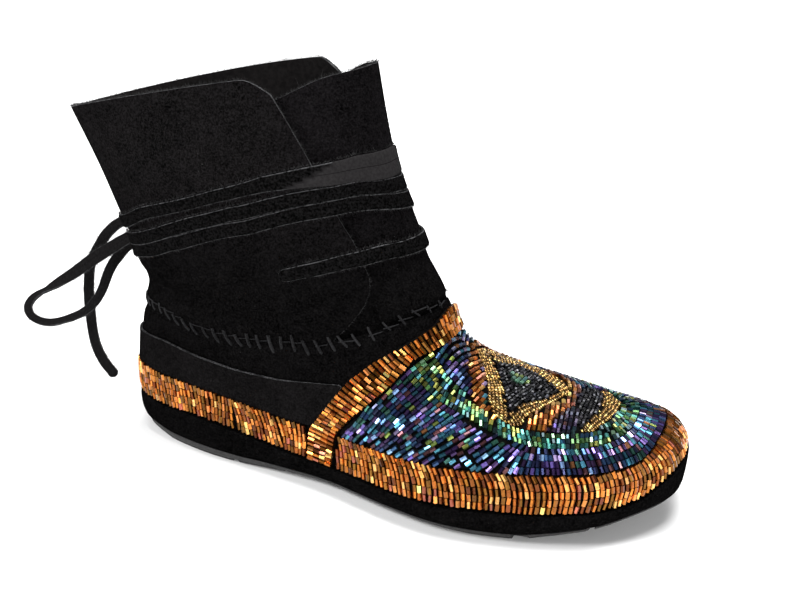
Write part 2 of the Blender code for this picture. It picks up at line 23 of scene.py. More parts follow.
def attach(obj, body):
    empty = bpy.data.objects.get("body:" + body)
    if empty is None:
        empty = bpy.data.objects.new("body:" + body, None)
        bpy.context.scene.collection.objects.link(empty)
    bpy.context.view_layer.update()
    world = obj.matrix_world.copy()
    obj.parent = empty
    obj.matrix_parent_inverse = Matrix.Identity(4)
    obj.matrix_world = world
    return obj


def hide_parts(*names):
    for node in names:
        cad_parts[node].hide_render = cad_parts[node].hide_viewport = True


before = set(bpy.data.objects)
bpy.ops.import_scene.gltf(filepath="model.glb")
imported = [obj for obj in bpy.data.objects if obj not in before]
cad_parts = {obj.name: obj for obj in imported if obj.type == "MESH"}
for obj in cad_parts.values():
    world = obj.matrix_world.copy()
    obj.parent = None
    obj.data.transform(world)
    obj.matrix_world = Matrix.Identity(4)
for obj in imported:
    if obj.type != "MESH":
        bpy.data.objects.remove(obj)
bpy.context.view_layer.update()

LOG = logging.getLogger("beaded_ankle_boot")
ROOT = "root"
MM = 0.001
ORIGIN = np.array([116.5, -1.8, 0.0])     # the frame's origin in heel-based millimetres
CLEARANCE = 0.3

Array = np.ndarray
Span = tuple[float, float]
Pairs = tuple[tuple[float, float], ...]
Colour = tuple[float, float, float]
Keep = Callable[[float, float], bool]      # whether a bead is wanted at a level row and reach


# ---- the last's tables
class Level(NamedTuple):
    """One loop of the upper's outer face, from the sole to the collar."""

    name: str
    x_back: float
    x_front: float
    z_back: float
    z_waist: float
    z_ball: float
    z_front: float
    foot: float
    shaft_half: float
    round_back: float
    round_front: float


class Fold(NamedTuple):
    """A soft trough (depth > 0) or ridge (depth < 0) along a line of level rows and reaches."""

    name: str
    line: Pairs
    width: float
    depth: float


# The foot's plan: x, half width on the lateral and on the medial side, and the ridge between them.
PLAN = ((0, 29.0, 28.5, 0), (34, 29.5, 29.0, 0), (100, 34.0, 27.0, 1), (172, 52.0, 40.5, 4),
        (222, 53.0, 36.0, 10), (258, 36.0, 28.0, 19))
LEVELS = (
    Level("feather", 2.6, 254.0, 20.0, 14.5, 15.0, 18.5, 1.00, 33, 0.60, 0.48),
    Level("rand_mid", 1.4, 255.4, 28.0, 22.5, 23.5, 26.5, 1.02, 33, 0.60, 0.48),
    Level("rand_top", 1.8, 251.5, 36.0, 30.5, 32.0, 34.0, 0.99, 33, 0.60, 0.48),
    Level("toe_edge", 2.0, 247.0, 40.0, 35.0, 34.6, 37.0, 0.96, 33, 0.62, 0.50),
    Level("toe_top", 2.2, 240.0, 43.5, 39.0, 36.6, 39.3, 0.92, 33, 0.64, 0.54),
    Level("vamp_front", 2.5, 227.0, 47.0, 42.6, 39.4, 42.1, 0.88, 33, 0.66, 0.58),
    Level("vamp_mid", 2.9, 205.0, 51.0, 46.4, 43.2, 46.7, 0.80, 33, 0.68, 0.62),
    Level("vamp_back", 3.4, 184.5, 55.5, 50.5, 47.8, 51.2, 0.66, 33, 0.72, 0.66),
    Level("instep_low", 4.2, 169.5, 59.5, 54.6, 53.2, 57.1, 0.46, 33, 0.76, 0.70),
    Level("instep", 5.6, 158.5, 62.5, 58.2, 60.0, 66.9, 0.24, 33, 0.78, 0.76),
    Level("whip_line", 7.0, 152.6, 65.5, 62.0, 68.6, 83.0, 0.00, 33, 0.80, 0.80),
    Level("ankle_dent", 7.9, 147.0, 80.0, 78.0, 87.0, 100.0, 0.00, 34, 0.80, 0.84),
    Level("ankle_bulge", 5.2, 140.8, 91.0, 92.0, 102.0, 114.0, 0.00, 36, 0.80, 0.84),
    Level("tie_line", -2.2, 130.6, 105.0, 112.0, 124.0, 136.0, 0.00, 36.5, 0.84, 0.84),
    Level("shaft", -12.8, 124.8, 128.0, 138.0, 149.0, 157.0, 0.00, 38, 0.86, 0.86),
    Level("collar", -26.0, 119.6, 153.0, 166.0, 175.0, 181.0, 0.00, 39.5, 0.88, 0.86),
)
Z_STATIONS = (0.0, 0.38, 0.70, 1.0)       # where along a loop its four heights stand
MEDIAL_LIFT, LIFT_FROM = 2.5, 12          # the inner collar stands higher, from this level row up
WHIP_ROW, COLLAR_ROW = 10.0, 15.0

FOLDS = (
    Fold("back_dent_lateral", ((10.75, -0.05), (10.95, -0.17), (11.0, -0.28), (11.15, -0.38)), 3.4, 1.7),
    Fold("back_dent_medial", ((10.8, 0.05), (11.0, 0.16), (11.1, 0.26)), 3.6, 1.4),
    Fold("ankle_roll", ((12.0, -0.10), (11.65, -0.20), (11.4, -0.29)), 5.0, -1.9),
    Fold("ankle_crease", ((11.1, -0.36), (11.5, -0.47), (11.9, -0.55)), 5.0, 0.8),
    Fold("flap_sag", ((12.3, -0.30), (11.7, -0.48), (11.3, -0.62)), 9.0, 1.1),
    Fold("flap_crown", ((13.9, -0.30), (13.7, -0.52), (13.3, -0.66)), 14.0, -0.9),
    Fold("collar_wave_low", ((15.0, -0.22), (13.9, -0.20)), 11.0, 0.9),
    Fold("collar_wave_high", ((15.0, -0.48), (14.2, -0.46)), 12.0, -0.8),
    Fold("quarter_sink", ((8.6, -0.12), (8.3, -0.28), (8.6, -0.42)), 6.5, 0.9),
    Fold("medial_crease", ((10.5, 0.24), (10.8, 0.38), (11.0, 0.52)), 4.5, 1.1),
    Fold("medial_sag", ((12.4, 0.28), (11.8, 0.48), (11.3, 0.64)), 9.0, 1.2),
    Fold("medial_wave", ((15.0, 0.36), (13.8, 0.34)), 12.0, -0.9),
    Fold("medial_sink", ((8.6, 0.14), (8.3, 0.30), (8.6, 0.44)), 6.5, 0.9),
)
SEAM_SINK, SEAM_HALF_WIDTH = 0.75, 1.7    # how deep and wide the whip-stitched seam is drawn in
PUCKERS = 54                              # waves of the seam round the ankle, half of them dents


# ---- sums that the pieces share
def smooth(stations: Sequence[float], values: Sequence[float], at: Array | float) -> Array:
    """Monotone cubic through a short table, held level past both ends.

    Args:
        stations: increasing places of the table's rows.
        values: the table's value at each of them.
        at: where it is read.

    Returns:
        The values read, in the shape of at.
    """
    x, y = np.asarray(stations, float), np.asarray(values, float)
    where = np.clip(np.asarray(at, float), x[0], x[-1])
    slope = np.diff(y) / np.diff(x)
    both = slope[:-1] * slope[1:]
    total = np.where(both > 0, slope[:-1] + slope[1:], 1.0)
    tangent = np.concatenate([slope[:1], np.where(both > 0, 2 * both / total, 0.0), slope[-1:]])
    i = np.clip(np.searchsorted(x, where, side="right") - 1, 0, len(x) - 2)
    step = x[i + 1] - x[i]
    f = (where - x[i]) / step
    return (y[i] * (1 + 2 * f) * (1 - f) ** 2 + tangent[i] * step * f * (1 - f) ** 2
            + y[i + 1] * f * f * (3 - 2 * f) - tangent[i + 1] * step * f * f * (1 - f))


def column(table: Sequence[Sequence[float]], number: int) -> list[float]:
    """One column of a table."""
    return [row[number] for row in table]


def metres(points: Array) -> Array:
    """Heel-based points in millimetres as frame points in metres."""
    return (np.asarray(points, float) - ORIGIN) * MM


def unit(vectors: Array) -> Array:
    """Vectors brought to a length of one."""
    return vectors / np.linalg.norm(vectors, axis=-1, keepdims=True)


def lengths(line: Array) -> Array:
    """How far along a line each of its points lies."""
    return np.concatenate([[0], np.cumsum(np.linalg.norm(np.diff(line, axis=0), axis=1))])


def read(at: Array | float, along: Array, table: Array) -> Array:
    """The columns of a table read at places along it."""
    return np.stack([np.interp(at, along, values) for values in table.T], axis=-1)


def between(table: Array, row: Array, place: Array) -> Array:
    """A grid of points read between its rows and columns.

    Args:
        table: the grid.
        row: row numbers, with fractions.
        place: column numbers, with fractions, of the same shape.

    Returns:
        The points read.
    """
    i = np.minimum(row.astype(int), len(table) - 2)
    j = np.minimum(place.astype(int), table.shape[1] - 2)
    f, g = (row - i)[..., None], (place - j)[..., None]
    low = table[i, j] * (1 - g) + table[i, j + 1] * g
    high = table[i + 1, j] * (1 - g) + table[i + 1, j + 1] * g
    return low * (1 - f) + high * f


def near_side(u: Array | float) -> Array:
    """Reaches past the toe or on the medial side as 0 at the heel to 1 at the toe."""
    return np.minimum(np.abs(u), 2 - np.abs(u))


@dataclass
class Last:
    """The boot's outer face, read at level rows v and reaches u.

    v is 0 at the feather line, 10 at the whip stitch and 15 at the collar. u runs from -1 at
    the toe by the lateral side to 0 at the heel and on to 1, as a share of the loop's length.
    """

    row_step: float = 0.05
    round_count: int = 512
    samples: int = 96

    def __post_init__(self) -> None:
        """Work the surface and its normals out once, on a fine grid."""
        self.rows = np.arange(0, COLLAR_ROW + self.row_step / 2, self.row_step)
        self.reaches = np.linspace(-1, 1, self.round_count + 1)
        self.grid = np.stack([self._loop(v) for v in self.rows])
        self.normal_grid = self._normals(self.grid)
        self.grid = self.grid + self.normal_grid * self._folds()[..., None]
        self.normal_grid = self._normals(self.grid)

    def _loop(self, v: float) -> Array:
        """One loop of the last, spread evenly along its length.

        Args:
            v: the level row.

        Returns:
            The loop's points, from the toe by the lateral side.
        """
        numbers = [smooth(range(len(LEVELS)), column(LEVELS, k), v) for k in range(1, 11)]
        level = Level("", *(float(n) for n in numbers))
        sides = []
        for side in (-1, 1):
            turns = np.pi * (1 - np.cos(np.pi * np.linspace(0, 1, self.samples + 1))) / 2
            along = lengths(self._around(level, turns, side))
            spread = np.interp(np.linspace(0, 1, self.round_count // 2 + 1), along / along[-1], turns)
            half = self._around(level, spread, side)
            if side > 0:
                half[:, 2] += smooth((LIFT_FROM, COLLAR_ROW), (0, MEDIAL_LIFT), v) * np.sin(spread)
            sides.append(half)
        return np.concatenate([sides[0][::-1], sides[1][1:]])

    @staticmethod
    def _around(level: Level, turns: Array, side: int) -> Array:
        """Half a loop.

        Args:
            level: the loop's numbers.
            turns: where points are wanted; 0 is the heel and pi the toe.
            side: -1 for the lateral side, 1 for the medial one.

        Returns:
            The points.
        """
        along = (1 - np.cos(turns)) / 2
        x = level.x_back + (level.x_front - level.x_back) * along
        halves = column(PLAN, 1 if side < 0 else 2)
        half = level.foot * smooth(column(PLAN, 0), halves, x) + (1 - level.foot) * level.shaft_half
        ridge = smooth(column(PLAN, 0), column(PLAN, 3), x)
        blunt = level.round_back + (level.round_front - level.round_back) * along
        y = min(level.foot, 1) * ridge + side * half * np.maximum(np.sin(turns), 0) ** blunt
        heights = (level.z_back, level.z_waist, level.z_ball, level.z_front)
        return np.stack([x, y, smooth(Z_STATIONS, heights, along)], axis=1)

    @staticmethod
    def _normals(grid: Array) -> Array:
        """Outward unit normals of a grid of points.

        Args:
            grid: the points, by row and by place round it.

        Returns:
            The normals, in the same order.
        """
        wrapped = np.concatenate([grid[:, -3:-1], grid, grid[:, 1:3]], axis=1)
        normal = np.cross(np.gradient(grid, axis=0), wrapped[:, 4:] - wrapped[:, :-4])
        return normal / np.maximum(np.linalg.norm(normal, axis=2, keepdims=True), 1e-9)

    def _folds(self) -> Array:
        """Work out how far the listed folds and the seam move each point along its normal.

        Returns:
            Millimetres outwards, by row and reach of the grid.
        """
        moved = np.zeros(self.grid.shape[:2])
        fine = np.linspace(0, 1, 15)
        fade = np.sin(np.pi * (0.12 + 0.76 * fine)) ** 0.7
        for fold in FOLDS:
            line = np.array(fold.line)
            spots = self._read(self.grid, *read(fine, np.linspace(0, 1, len(line)), line).T)
            best = np.zeros_like(moved)
            for spot, strength in zip(spots, fade):
                away = ((self.grid - spot) ** 2).sum(axis=2)
                best = np.maximum(best, strength * np.exp(-away / (fold.width ** 2)))
            moved -= fold.depth * best
        seam = np.linalg.norm(self.grid - self.grid[round(WHIP_ROW / self.row_step)], axis=2)
        pucker = 1 + 0.4 * np.sin(self.reaches * np.pi * PUCKERS)
        return moved - SEAM_SINK * np.exp(-(seam / SEAM_HALF_WIDTH) ** 2) * pucker

    def _read(self, table: Array, v: Array, u: Array) -> Array:
        """Read one of the last's grids.

        Args:
            table: the grid.
            v: level rows.
            u: reaches.

        Returns:
            The grid's values there.
        """
        row = np.clip(np.asarray(v, float), 0, COLLAR_ROW) / self.row_step
        place = ((np.asarray(u, float) + 1) % 2) * self.round_count / 2
        return between(table, *np.broadcast_arrays(row, place))

    def skin(self, v: Array | float, u: Array | float, out: Array | float = 0.0) -> Array:
        """Points on the outer face, pushed out along the normal.

        Args:
            v: level rows.
            u: reaches, of the same shape.
            out: millimetres outwards, one number or one for each point.

        Returns:
            Heel-based points in millimetres.
        """
        return self._read(self.grid, v, u) + self.normal(v, u) * np.asarray(out, float)[..., None]

    def normal(self, v: Array | float, u: Array | float) -> Array:
        """Outward unit normals at level rows and reaches."""
        return unit(self._read(self.normal_grid, v, u))

    def row_at_height(self, u: Array, height: Array) -> Array:
        """Find the rows above the whip line that pass a height.

        Args:
            u: reaches.
            height: the height over the floor at each of them.

        Returns:
            The level rows.
        """
        low, high = np.full(np.shape(u), WHIP_ROW), np.full(np.shape(u), COLLAR_ROW)
        for _ in range(24):
            middle = (low + high) / 2
            under = self.skin(middle, u)[..., 2] < height
            low, high = np.where(under, middle, low), np.where(under, high, middle)
        return (low + high) / 2

    def locate(self, wanted: Array, sight: Array, rows: Span, reaches: Span) -> tuple[Array, Array]:
        """Find points known by their places in a flat view.

        Args:
            wanted: the two flat coordinates of each point, in millimetres.
            sight: the view's two axes, one in each row.
            rows: lowest and highest level row to look in.
            reaches: lowest and highest reach to look in.

        Returns:
            The level rows and the reaches.
        """
        slack, tries, flattest = 1e-6, 5, 1e-3
        nudge_row, nudge_reach = 0.05, 0.004
        most_row, most_reach = 0.3, 0.02
        wanted = np.asarray(wanted, float).reshape(-1, 2)
        i = np.flatnonzero((self.rows >= rows[0] - slack) & (self.rows <= rows[1] + slack))[::2]
        j = np.flatnonzero((self.reaches >= reaches[0] - slack) & (self.reaches <= reaches[1] + slack))
        near = (self.grid[np.ix_(i, j)] @ sight.T).reshape(-1, 2)
        best = np.array([int(np.argmin(((near - w) ** 2).sum(axis=1))) for w in wanted])
        v, u = self.rows[i[best // len(j)]], self.reaches[j[best % len(j)]]
        for _ in range(tries):
            here = self.skin(v, u) @ sight.T
            by_row = (self.skin(v + nudge_row, u) @ sight.T - here) / nudge_row
            by_reach = (self.skin(v, u + nudge_reach) @ sight.T - here) / nudge_reach
            det = by_row[:, 0] * by_reach[:, 1] - by_row[:, 1] * by_reach[:, 0]
            det = np.where(np.abs(det) < flattest, flattest, det)
            gap = wanted - here
            row_step = (gap[:, 0] * by_reach[:, 1] - gap[:, 1] * by_reach[:, 0]) / det
            reach_step = (gap[:, 1] * by_row[:, 0] - gap[:, 0] * by_row[:, 1]) / det
            v = np.clip(v + np.clip(row_step, -most_row, most_row), *rows)
            u = np.clip(u + np.clip(reach_step, -most_reach, most_reach), *reaches)
        return v, u


@dataclass
class SideLine:
    """A line drawn on the boot as seen from the side, kept as heel-based x and height pairs."""

    last: Last
    points: Pairs
    upright: bool = True

    def rows(self, u: Array) -> Array:
        """Find where columns of the last cross the line, going up.

        Args:
            u: the columns' reaches.

        Returns:
            The level rows.
        """
        u = np.asarray(u, float)
        v = self.last.rows
        spots = self.last.skin(v[None, :], u[:, None])
        line = np.array(self.points, float)
        if self.upright:
            off = spots[..., 0] - np.interp(spots[..., 2], line[:, 1], line[:, 0])
        else:
            off = np.interp(spots[..., 0], line[:, 0], line[:, 1]) - spots[..., 2]
        found = np.argmax(off <= 0, axis=1)
        found = np.where((off > 0).all(axis=1), len(v) - 1, found)
        before = np.maximum(found - 1, 0)
        high = np.take_along_axis(off, found[:, None], 1)[:, 0]
        low = np.take_along_axis(off, before[:, None], 1)[:, 0]
        share = np.where(found > 0, low / np.maximum(low - high, 1e-9), 0)
        return v[before] + (v[found] - v[before]) * np.clip(share, 0, 1)

    def ahead(self, v: Array | float, u: Array | float) -> Array:
        """Measure how far points, or their mirror points, lie in front of the line.

        Args:
            v: their level rows.
            u: their reaches.

        Returns:
            The distances in millimetres.
        """
        spots = self.last.skin(v, -np.abs((np.asarray(u, float) + 1) % 2 - 1))
        line = np.array(self.points, float)
        return spots[..., 0] - np.interp(spots[..., 2], line[:, 1], line[:, 0])


# ---- seams and edges on the last
BAND_BACK = ((103, 5), (104.5, 29), (110.5, 38), (122, 54.5), (131, 63), (142, 70.5), (151, 77), (156, 88),
             (156, 110))
BAND_FRONT = ((115, 5), (119.5, 32), (126, 40), (133.5, 47), (141.5, 55.5), (147, 64), (156, 69), (162, 73),
              (180, 80))
FOXING_TOP = ((-12, 51), (5, 51.5), (26, 52.5), (46, 50), (66, 48.7), (90, 49.2), (119, 52.2))


# ---- node trees
def arithmetic(operation: str, turned: bool = False) -> Callable[["Value", "Value | float"], "Value"]:
    """Make an arithmetic method of Value.

    Args:
        operation: the Math node's operation.
        turned: whether the other operand comes first.

    Returns:
        The method.
    """
    def method(self: "Value", other: "Value | float") -> "Value":
        """The result of a Math node."""
        operands = (other, self) if turned else (self, other)
        return Value(self.board, self.board.wire("Math", {"operation": operation}, *operands))

    return method


class Value:
    """A number socket of a material's tree, used in plain Python arithmetic."""

    __add__, __radd__ = arithmetic("ADD"), arithmetic("ADD", True)
    __mul__, __rmul__ = arithmetic("MULTIPLY"), arithmetic("MULTIPLY", True)
    __rsub__ = arithmetic("SUBTRACT", True)

    def __init__(self, board: "Board", socket: NodeSocket) -> None:
        """Wrap a socket of a board's tree."""
        self.board, self.socket = board, socket

    def between(self, low: float, high: float) -> "Value":
        """0 below low, 1 above high, smooth between them."""
        socket = self.board.wire("MapRange", {"interpolation_type": "SMOOTHSTEP"}, Value=self, From_Min=low,
                                 From_Max=high)
        return Value(self.board, socket)


class Board:
    """A node tree that is being wired."""

    family = "ShaderNode"

    def __init__(self, tree: bpy.types.NodeTree) -> None:
        """Take a tree to wire."""
        self.tree = tree

    @staticmethod
    def live(sockets: Iterable[NodeSocket], name: str = "") -> NodeSocket:
        """The first socket in use, or the one in use that has a name."""
        return next(s for s in sockets if s.enabled and name in ("", s.name))

    def node(self, kind: str, settings: dict | None = None, *ordered: object, **named: object) -> Node:
        """Add a node.

        Args:
            kind: its type, without the board's own family of nodes.
            settings: its own properties, set first.
            ordered: numbers, colours, sockets or Values for its first sockets.
            named: the same for sockets by name, with underscores for spaces.

        Returns:
            The node.
        """
        node = self.tree.nodes.new(kind if "Node" in kind else self.family + kind)
        for key, value in (settings or {}).items():
            setattr(node, key, value)
        for socket, value in zip(node.inputs, ordered):
            self.feed(socket, value)
        for key, value in named.items():
            self.feed(self.live(node.inputs, key.replace("_", " ")), value)
        return node

    def wire(self, *what: object, **named: object) -> NodeSocket:
        """Add a node in the same way and give its first output in use."""
        return self.live(self.node(*what, **named).outputs)

    def feed(self, socket: NodeSocket, value: object) -> None:
        """Link a Value or a socket into a socket, or set a plain number or colour on it.

        Args:
            socket: the socket that is fed.
            value: what is fed to it.
        """
        value = value.socket if isinstance(value, Value) else value
        if isinstance(value, NodeSocket):
            self.tree.links.new(value, socket)
        elif isinstance(value, tuple) and len(value) == 3 and len(socket.default_value) == 4:
            socket.default_value = (*value, 1.0)
        else:
            socket.default_value = value


class Surface(Board):
    """One material under construction: its tree, its Principled shader and small helpers."""

    def __init__(self, name: str) -> None:
        """Start a material with a bare Principled shader.

        Args:
            name: the material's name.
        """
        self.material = bpy.data.materials.new(name)
        self.material.use_nodes = True
        super().__init__(self.material.node_tree)
        self.shader = self.tree.nodes["Principled BSDF"]

    def set(self, **values: object) -> None:
        """Feed the Principled shader's sockets, named with underscores for spaces."""
        for key, value in values.items():
            self.feed(self.shader.inputs[key.replace("_", " ")], value)

    def place(self) -> NodeSocket:
        """The object coordinates, in metres."""
        return self.node("TexCoord").outputs["Object"]

    def noise(self, per_metre: float, detail: float = 3.0, rough: float = 0.55) -> Value:
        """Noise from 0 to 1 of a given fineness."""
        return Value(self, self.wire("TexNoise", Vector=self.place(), Scale=per_metre, Detail=detail,
                                     Roughness=rough))

    def attribute(self, name: str, output: str = "Fac") -> NodeSocket:
        """A mesh attribute's socket."""
        return self.node("Attribute", {"attribute_name": name}).outputs[output]

    def mix(self, factor: Value | float, low: object, high: object, blend: str = "MIX") -> NodeSocket:
        """Two colours mixed by a factor."""
        return self.wire("Mix", {"data_type": "RGBA", "blend_type": blend}, Factor=factor, A=low, B=high)

    def bump(self, height: Value, depth: float, strength: float = 1.0) -> None:
        """Raise the surface by a height of 0 to 1 times a depth in metres."""
        self.set(Normal=self.wire("Bump", Strength=strength, Distance=depth, Height=height))


# ---- finishes
@dataclass(frozen=True)
class Suede:
    """Brushed black suede: a grainy nap in soft patches, painted shade low down, and a few specks."""

    name: str
    dark: Colour = (0.0002, 0.0002, 0.0002)
    # the nap's light tone in painted shade low down and lit high up, blended between two heights in metres
    nap_shaded_low: Colour = (0.0068, 0.0064, 0.0066)
    nap_lit_high: Colour = (0.0124, 0.0114, 0.0119)
    painted_shade_heights: Span = (0.085, 0.135)
    speck: Colour = (0.075, 0.072, 0.070)
    speck_share: float = 0.79
    nap_depth: float = 0.00045

    def dress(self) -> Material:
        """Build the suede.

        Returns:
            The material.
        """
        surface = Surface(self.name)
        patches = surface.noise(60, 2.0).between(0.34, 0.68)
        strokes = surface.noise(380, 4.0, 0.65).between(0.36, 0.66)
        grain = surface.noise(1200, 4.0, 0.8).between(0.38, 0.64)
        fibres = surface.noise(2600, 3.0, 0.7)
        height = Value(surface, surface.node("SeparateXYZ", None, surface.place()).outputs["Z"])
        # painted shade: the nap's light tone darkens towards the floor, blended by height over it
        light = surface.mix(height.between(*self.painted_shade_heights), self.nap_shaded_low, self.nap_lit_high)
        colour = surface.mix(patches * 0.14 + strokes * 0.20 + grain * 0.66, self.dark, light)
        specks = surface.noise(1150, 1.0, 0.5).between(self.speck_share, self.speck_share + 0.05)
        colour = surface.mix(specks * 0.7, colour, self.speck)
        surface.set(Base_Color=colour, Roughness=0.86 + 0.12 * strokes, Specular_IOR_Level=0.0)
        surface.bump(grain * 0.6 + fibres * 0.4 + specks * 0.3, self.nap_depth, 0.7)
        return surface.material


@dataclass(frozen=True)
class CutEdge:
    """The raw, paler edge of cut suede, broken by darker fibres."""

    name: str
    dark: Colour = (0.005, 0.005, 0.0055)
    light: Colour = (0.150, 0.150, 0.155)

    def dress(self) -> Material:
        """Build the edge.

        Returns:
            The material.
        """
        surface = Surface(self.name)
        fibres = surface.noise(2200, 3.0, 0.7)
        tone = fibres.between(0.40, 0.66) * (0.35 + 0.65 * surface.noise(260, 2.0).between(0.35, 0.6))
        colour = surface.mix(tone, self.dark, self.light)
        surface.set(Base_Color=colour, Roughness=0.95, Specular_IOR_Level=0.0)
        surface.bump(fibres, 0.0003, 0.8)
        return surface.material


@dataclass(frozen=True)
class Thong:
    """The tie: suede outside with fuzzy edges, and a smooth grey side, folded once, where it turns over."""

    name: str
    nap_dark: Colour = (0.0003, 0.0003, 0.0003)
    nap_light: Colour = (0.0080, 0.0077, 0.0079)
    edge: Colour = (0.100, 0.100, 0.104)
    smooth_dark: Colour = (0.0140, 0.0132, 0.0136)
    smooth_light: Colour = (0.0200, 0.0190, 0.0194)
    edge_start: float = 0.86

    def dress(self) -> Material:
        """Build the thong, which reads the strip's own across and smooth attributes.

        Returns:
            The material.
        """
        surface = Surface(self.name)
        across = Value(surface, surface.attribute("across"))
        leather = Value(surface, surface.attribute("smooth"))
        fibres = surface.noise(2400, 3.0, 0.7)
        strokes = surface.noise(1100, 4.0, 0.75).between(0.37, 0.65)
        nap = surface.mix(strokes, self.nap_dark, self.nap_light)
        tufts = surface.noise(750, 4.0, 0.7).between(0.38, 0.58)
        fuzz = (across * across).between(self.edge_start ** 2, 0.99) * tufts
        nap = surface.mix(fuzz * 0.8, nap, self.edge)
        fold = across.between(0.02, 0.09)
        crease_shade = fold * (1 - fold) * 4
        grain = surface.noise(900, 2.0).between(0.3, 0.7)
        smooth_side = surface.mix(grain * (1 - crease_shade), self.smooth_dark, self.smooth_light)
        # painted shade: the smooth side darkens along the fold's crease
        smooth_side = surface.mix(crease_shade * 0.75, smooth_side, self.nap_dark)
        surface.set(Base_Color=surface.mix(leather, nap, smooth_side), Roughness=0.93 - 0.2 * leather,
                    Specular_IOR_Level=0.0)
        surface.bump((fibres * 0.5 + strokes * 0.5) * (1 - leather * 0.9) + fold * leather, 0.0004, 0.8)
        return surface.material


@dataclass(frozen=True)
class Beads:
    """Metallic-coated glass beads, each in the colour that its string gave it."""

    name: str
    metallic: float
    roughness: float
    coat: float

    def dress(self) -> Material:
        """Build the beads' glass, which reads the tint attribute.

        Returns:
            The material.
        """
        surface = Surface(self.name)
        tint = surface.attribute("tint", "Color")
        wear = surface.noise(700, 2.0).between(0.35, 0.75)
        darker = surface.mix(1.0, tint, (0.55, 0.52, 0.5), "MULTIPLY")
        surface.set(Base_Color=surface.mix(wear * 0.6, tint, darker), Metallic=self.metallic,
                    Roughness=self.roughness + 0.12 * wear, Coat_Weight=self.coat, Coat_Roughness=0.08)
        surface.bump(surface.noise(900, 1.0), 0.00004, 0.25)
        return surface.material


@dataclass(frozen=True)
class Plain:
    """A mottled matt finish for rubber, felt, yarn and lining."""

    name: str
    dark: Colour
    light: Colour
    roughness: float = 0.8
    per_metre: float = 900.0
    depth: float = 0.0002
    specular: float = 0.3

    def dress(self) -> Material:
        """Build the finish.

        Returns:
            The material.
        """
        surface = Surface(self.name)
        grain = surface.noise(self.per_metre, 4.0, 0.6)
        cloud = surface.noise(45, 2.0).between(0.3, 0.7)
        tone = grain.between(0.32, 0.7) * 0.6 + cloud * 0.4
        surface.set(Base_Color=surface.mix(tone, self.dark, self.light),
                    Roughness=self.roughness + 0.1 * cloud, Specular_IOR_Level=self.specular)
        surface.bump(grain, self.depth, 0.8)
        return surface.material


Finishes = dict[str, Material]
FINISHES = {
    "suede": Suede("suede_black"),
    "foxing": Suede("suede_foxing", (0.0014, 0.0013, 0.0013), (0.0098, 0.0091, 0.0094), nap_depth=0.0002),
    "panel": Suede("suede_panel", nap_lit_high=(0.0108, 0.0098, 0.0106)),
    "edge": CutEdge("suede_cut_edge"),
    "thong": Thong("tie_thong"),
    "copper": Beads("beads_copper", 0.94, 0.18, 0.15),
    "iris": Beads("beads_iris", 0.86, 0.20, 0.18),
    "felt": Plain("backing_felt", (0.0010, 0.0010, 0.0010), (0.0045, 0.0042, 0.0042), 0.95, specular=0.02),
    "lining": Plain("lining_leather", (0.003, 0.0028, 0.0028), (0.010, 0.009, 0.009), 0.85, 500,
                    specular=0.05),
    "sock": Plain("insole_sock", (0.006, 0.0055, 0.0055), (0.018, 0.016, 0.016), 0.8, 700, specular=0.1),
    "rubber": Plain("outsole_rubber", (0.017, 0.017, 0.0175), (0.038, 0.037, 0.037), 0.58, 650, 0.00025),
    "fibre": Plain("suede_fibre", (0.004, 0.004, 0.004), (0.050, 0.049, 0.050), 0.95, 300, 0.0, 0.02),
    "yarn": Plain("stitch_yarn", (0.004, 0.004, 0.0043), (0.024, 0.024, 0.025), 0.92, 1600, 0.0003, 0.05),
}


# ---- meshes
@dataclass
class Net:
    """Points and faces being gathered for one mesh, in heel-based millimetres."""

    points: list[Array] = field(default_factory=list)
    faces: list[tuple[int, ...]] = field(default_factory=list)
    slots: list[int] = field(default_factory=list)
    count: int = 0

    def add(self, points: Array) -> int:
        """Add points.

        Args:
            points: the points.

        Returns:
            The number of the first.
        """
        first = self.count
        self.points.append(np.asarray(points, float).reshape(-1, 3))
        self.count += len(self.points[-1])
        return first

    def face(self, corners: tuple[int, ...], slot: int = 0) -> None:
        """Add one face."""
        self.faces.append(corners)
        self.slots.append(slot)

    def strip(self, lower: Sequence[int], upper: Sequence[int], closed: bool = False) -> None:
        """Add quads between two rows of points, facing out.

        Args:
            lower: the lower row's point numbers.
            upper: the upper row's.
            closed: whether the rows run round.
        """
        for i in range(len(lower) if closed else len(lower) - 1):
            j = (i + 1) % len(lower)
            self.face((lower[i], upper[i], upper[j], lower[j]))

    def rows(self, rings: Iterable[Array], closed: bool = False, turned: bool = False) -> list[range]:
        """Add rows of points with quads between them.

        Args:
            rings: the rows, the lowest first.
            closed: whether each row runs round.
            turned: whether the quads face the other way.

        Returns:
            The point numbers of each row.
        """
        numbers = [range(self.add(ring), self.count) for ring in rings]
        for lower, upper in zip(numbers, numbers[1:]):
            self.strip(*((upper, lower) if turned else (lower, upper)), closed=closed)
        return numbers

    def mesh(self, name: str) -> Mesh:
        """Write the gathered mesh, smooth shaded, in the frame's metres.

        Args:
            name: the mesh's name.

        Returns:
            The mesh.
        """
        mesh = bpy.data.meshes.new(name)
        mesh.from_pydata(metres(np.concatenate(self.points)).tolist(), [], self.faces)
        mesh.polygons.foreach_set("material_index", self.slots)
        mesh.validate()
        mesh.shade_smooth()
        return mesh


def walled(sheet: Net, inner: Array, rim_slot: int, inner_slot: int) -> Net:
    """A closed wall: a sheet, its inner twin and a rim round every open edge.

    Args:
        sheet: the outer face.
        inner: the inner twin of each of its points.
        rim_slot: material slot of the rim.
        inner_slot: material slot of the inner face.

    Returns:
        The wall as a new net.
    """
    wall = Net([*sheet.points], list(sheet.faces), list(sheet.slots), sheet.count)
    first = wall.add(inner)
    edges: set[tuple[int, int]] = set()
    for corners in sheet.faces:
        edges.update(zip(corners, corners[1:] + corners[:1]))
        wall.face(tuple(first + c for c in corners[::-1]), inner_slot)
    for a, b in sorted(edges):
        if (b, a) not in edges:
            wall.face((b, a, first + a, first + b), rim_slot)
    return wall


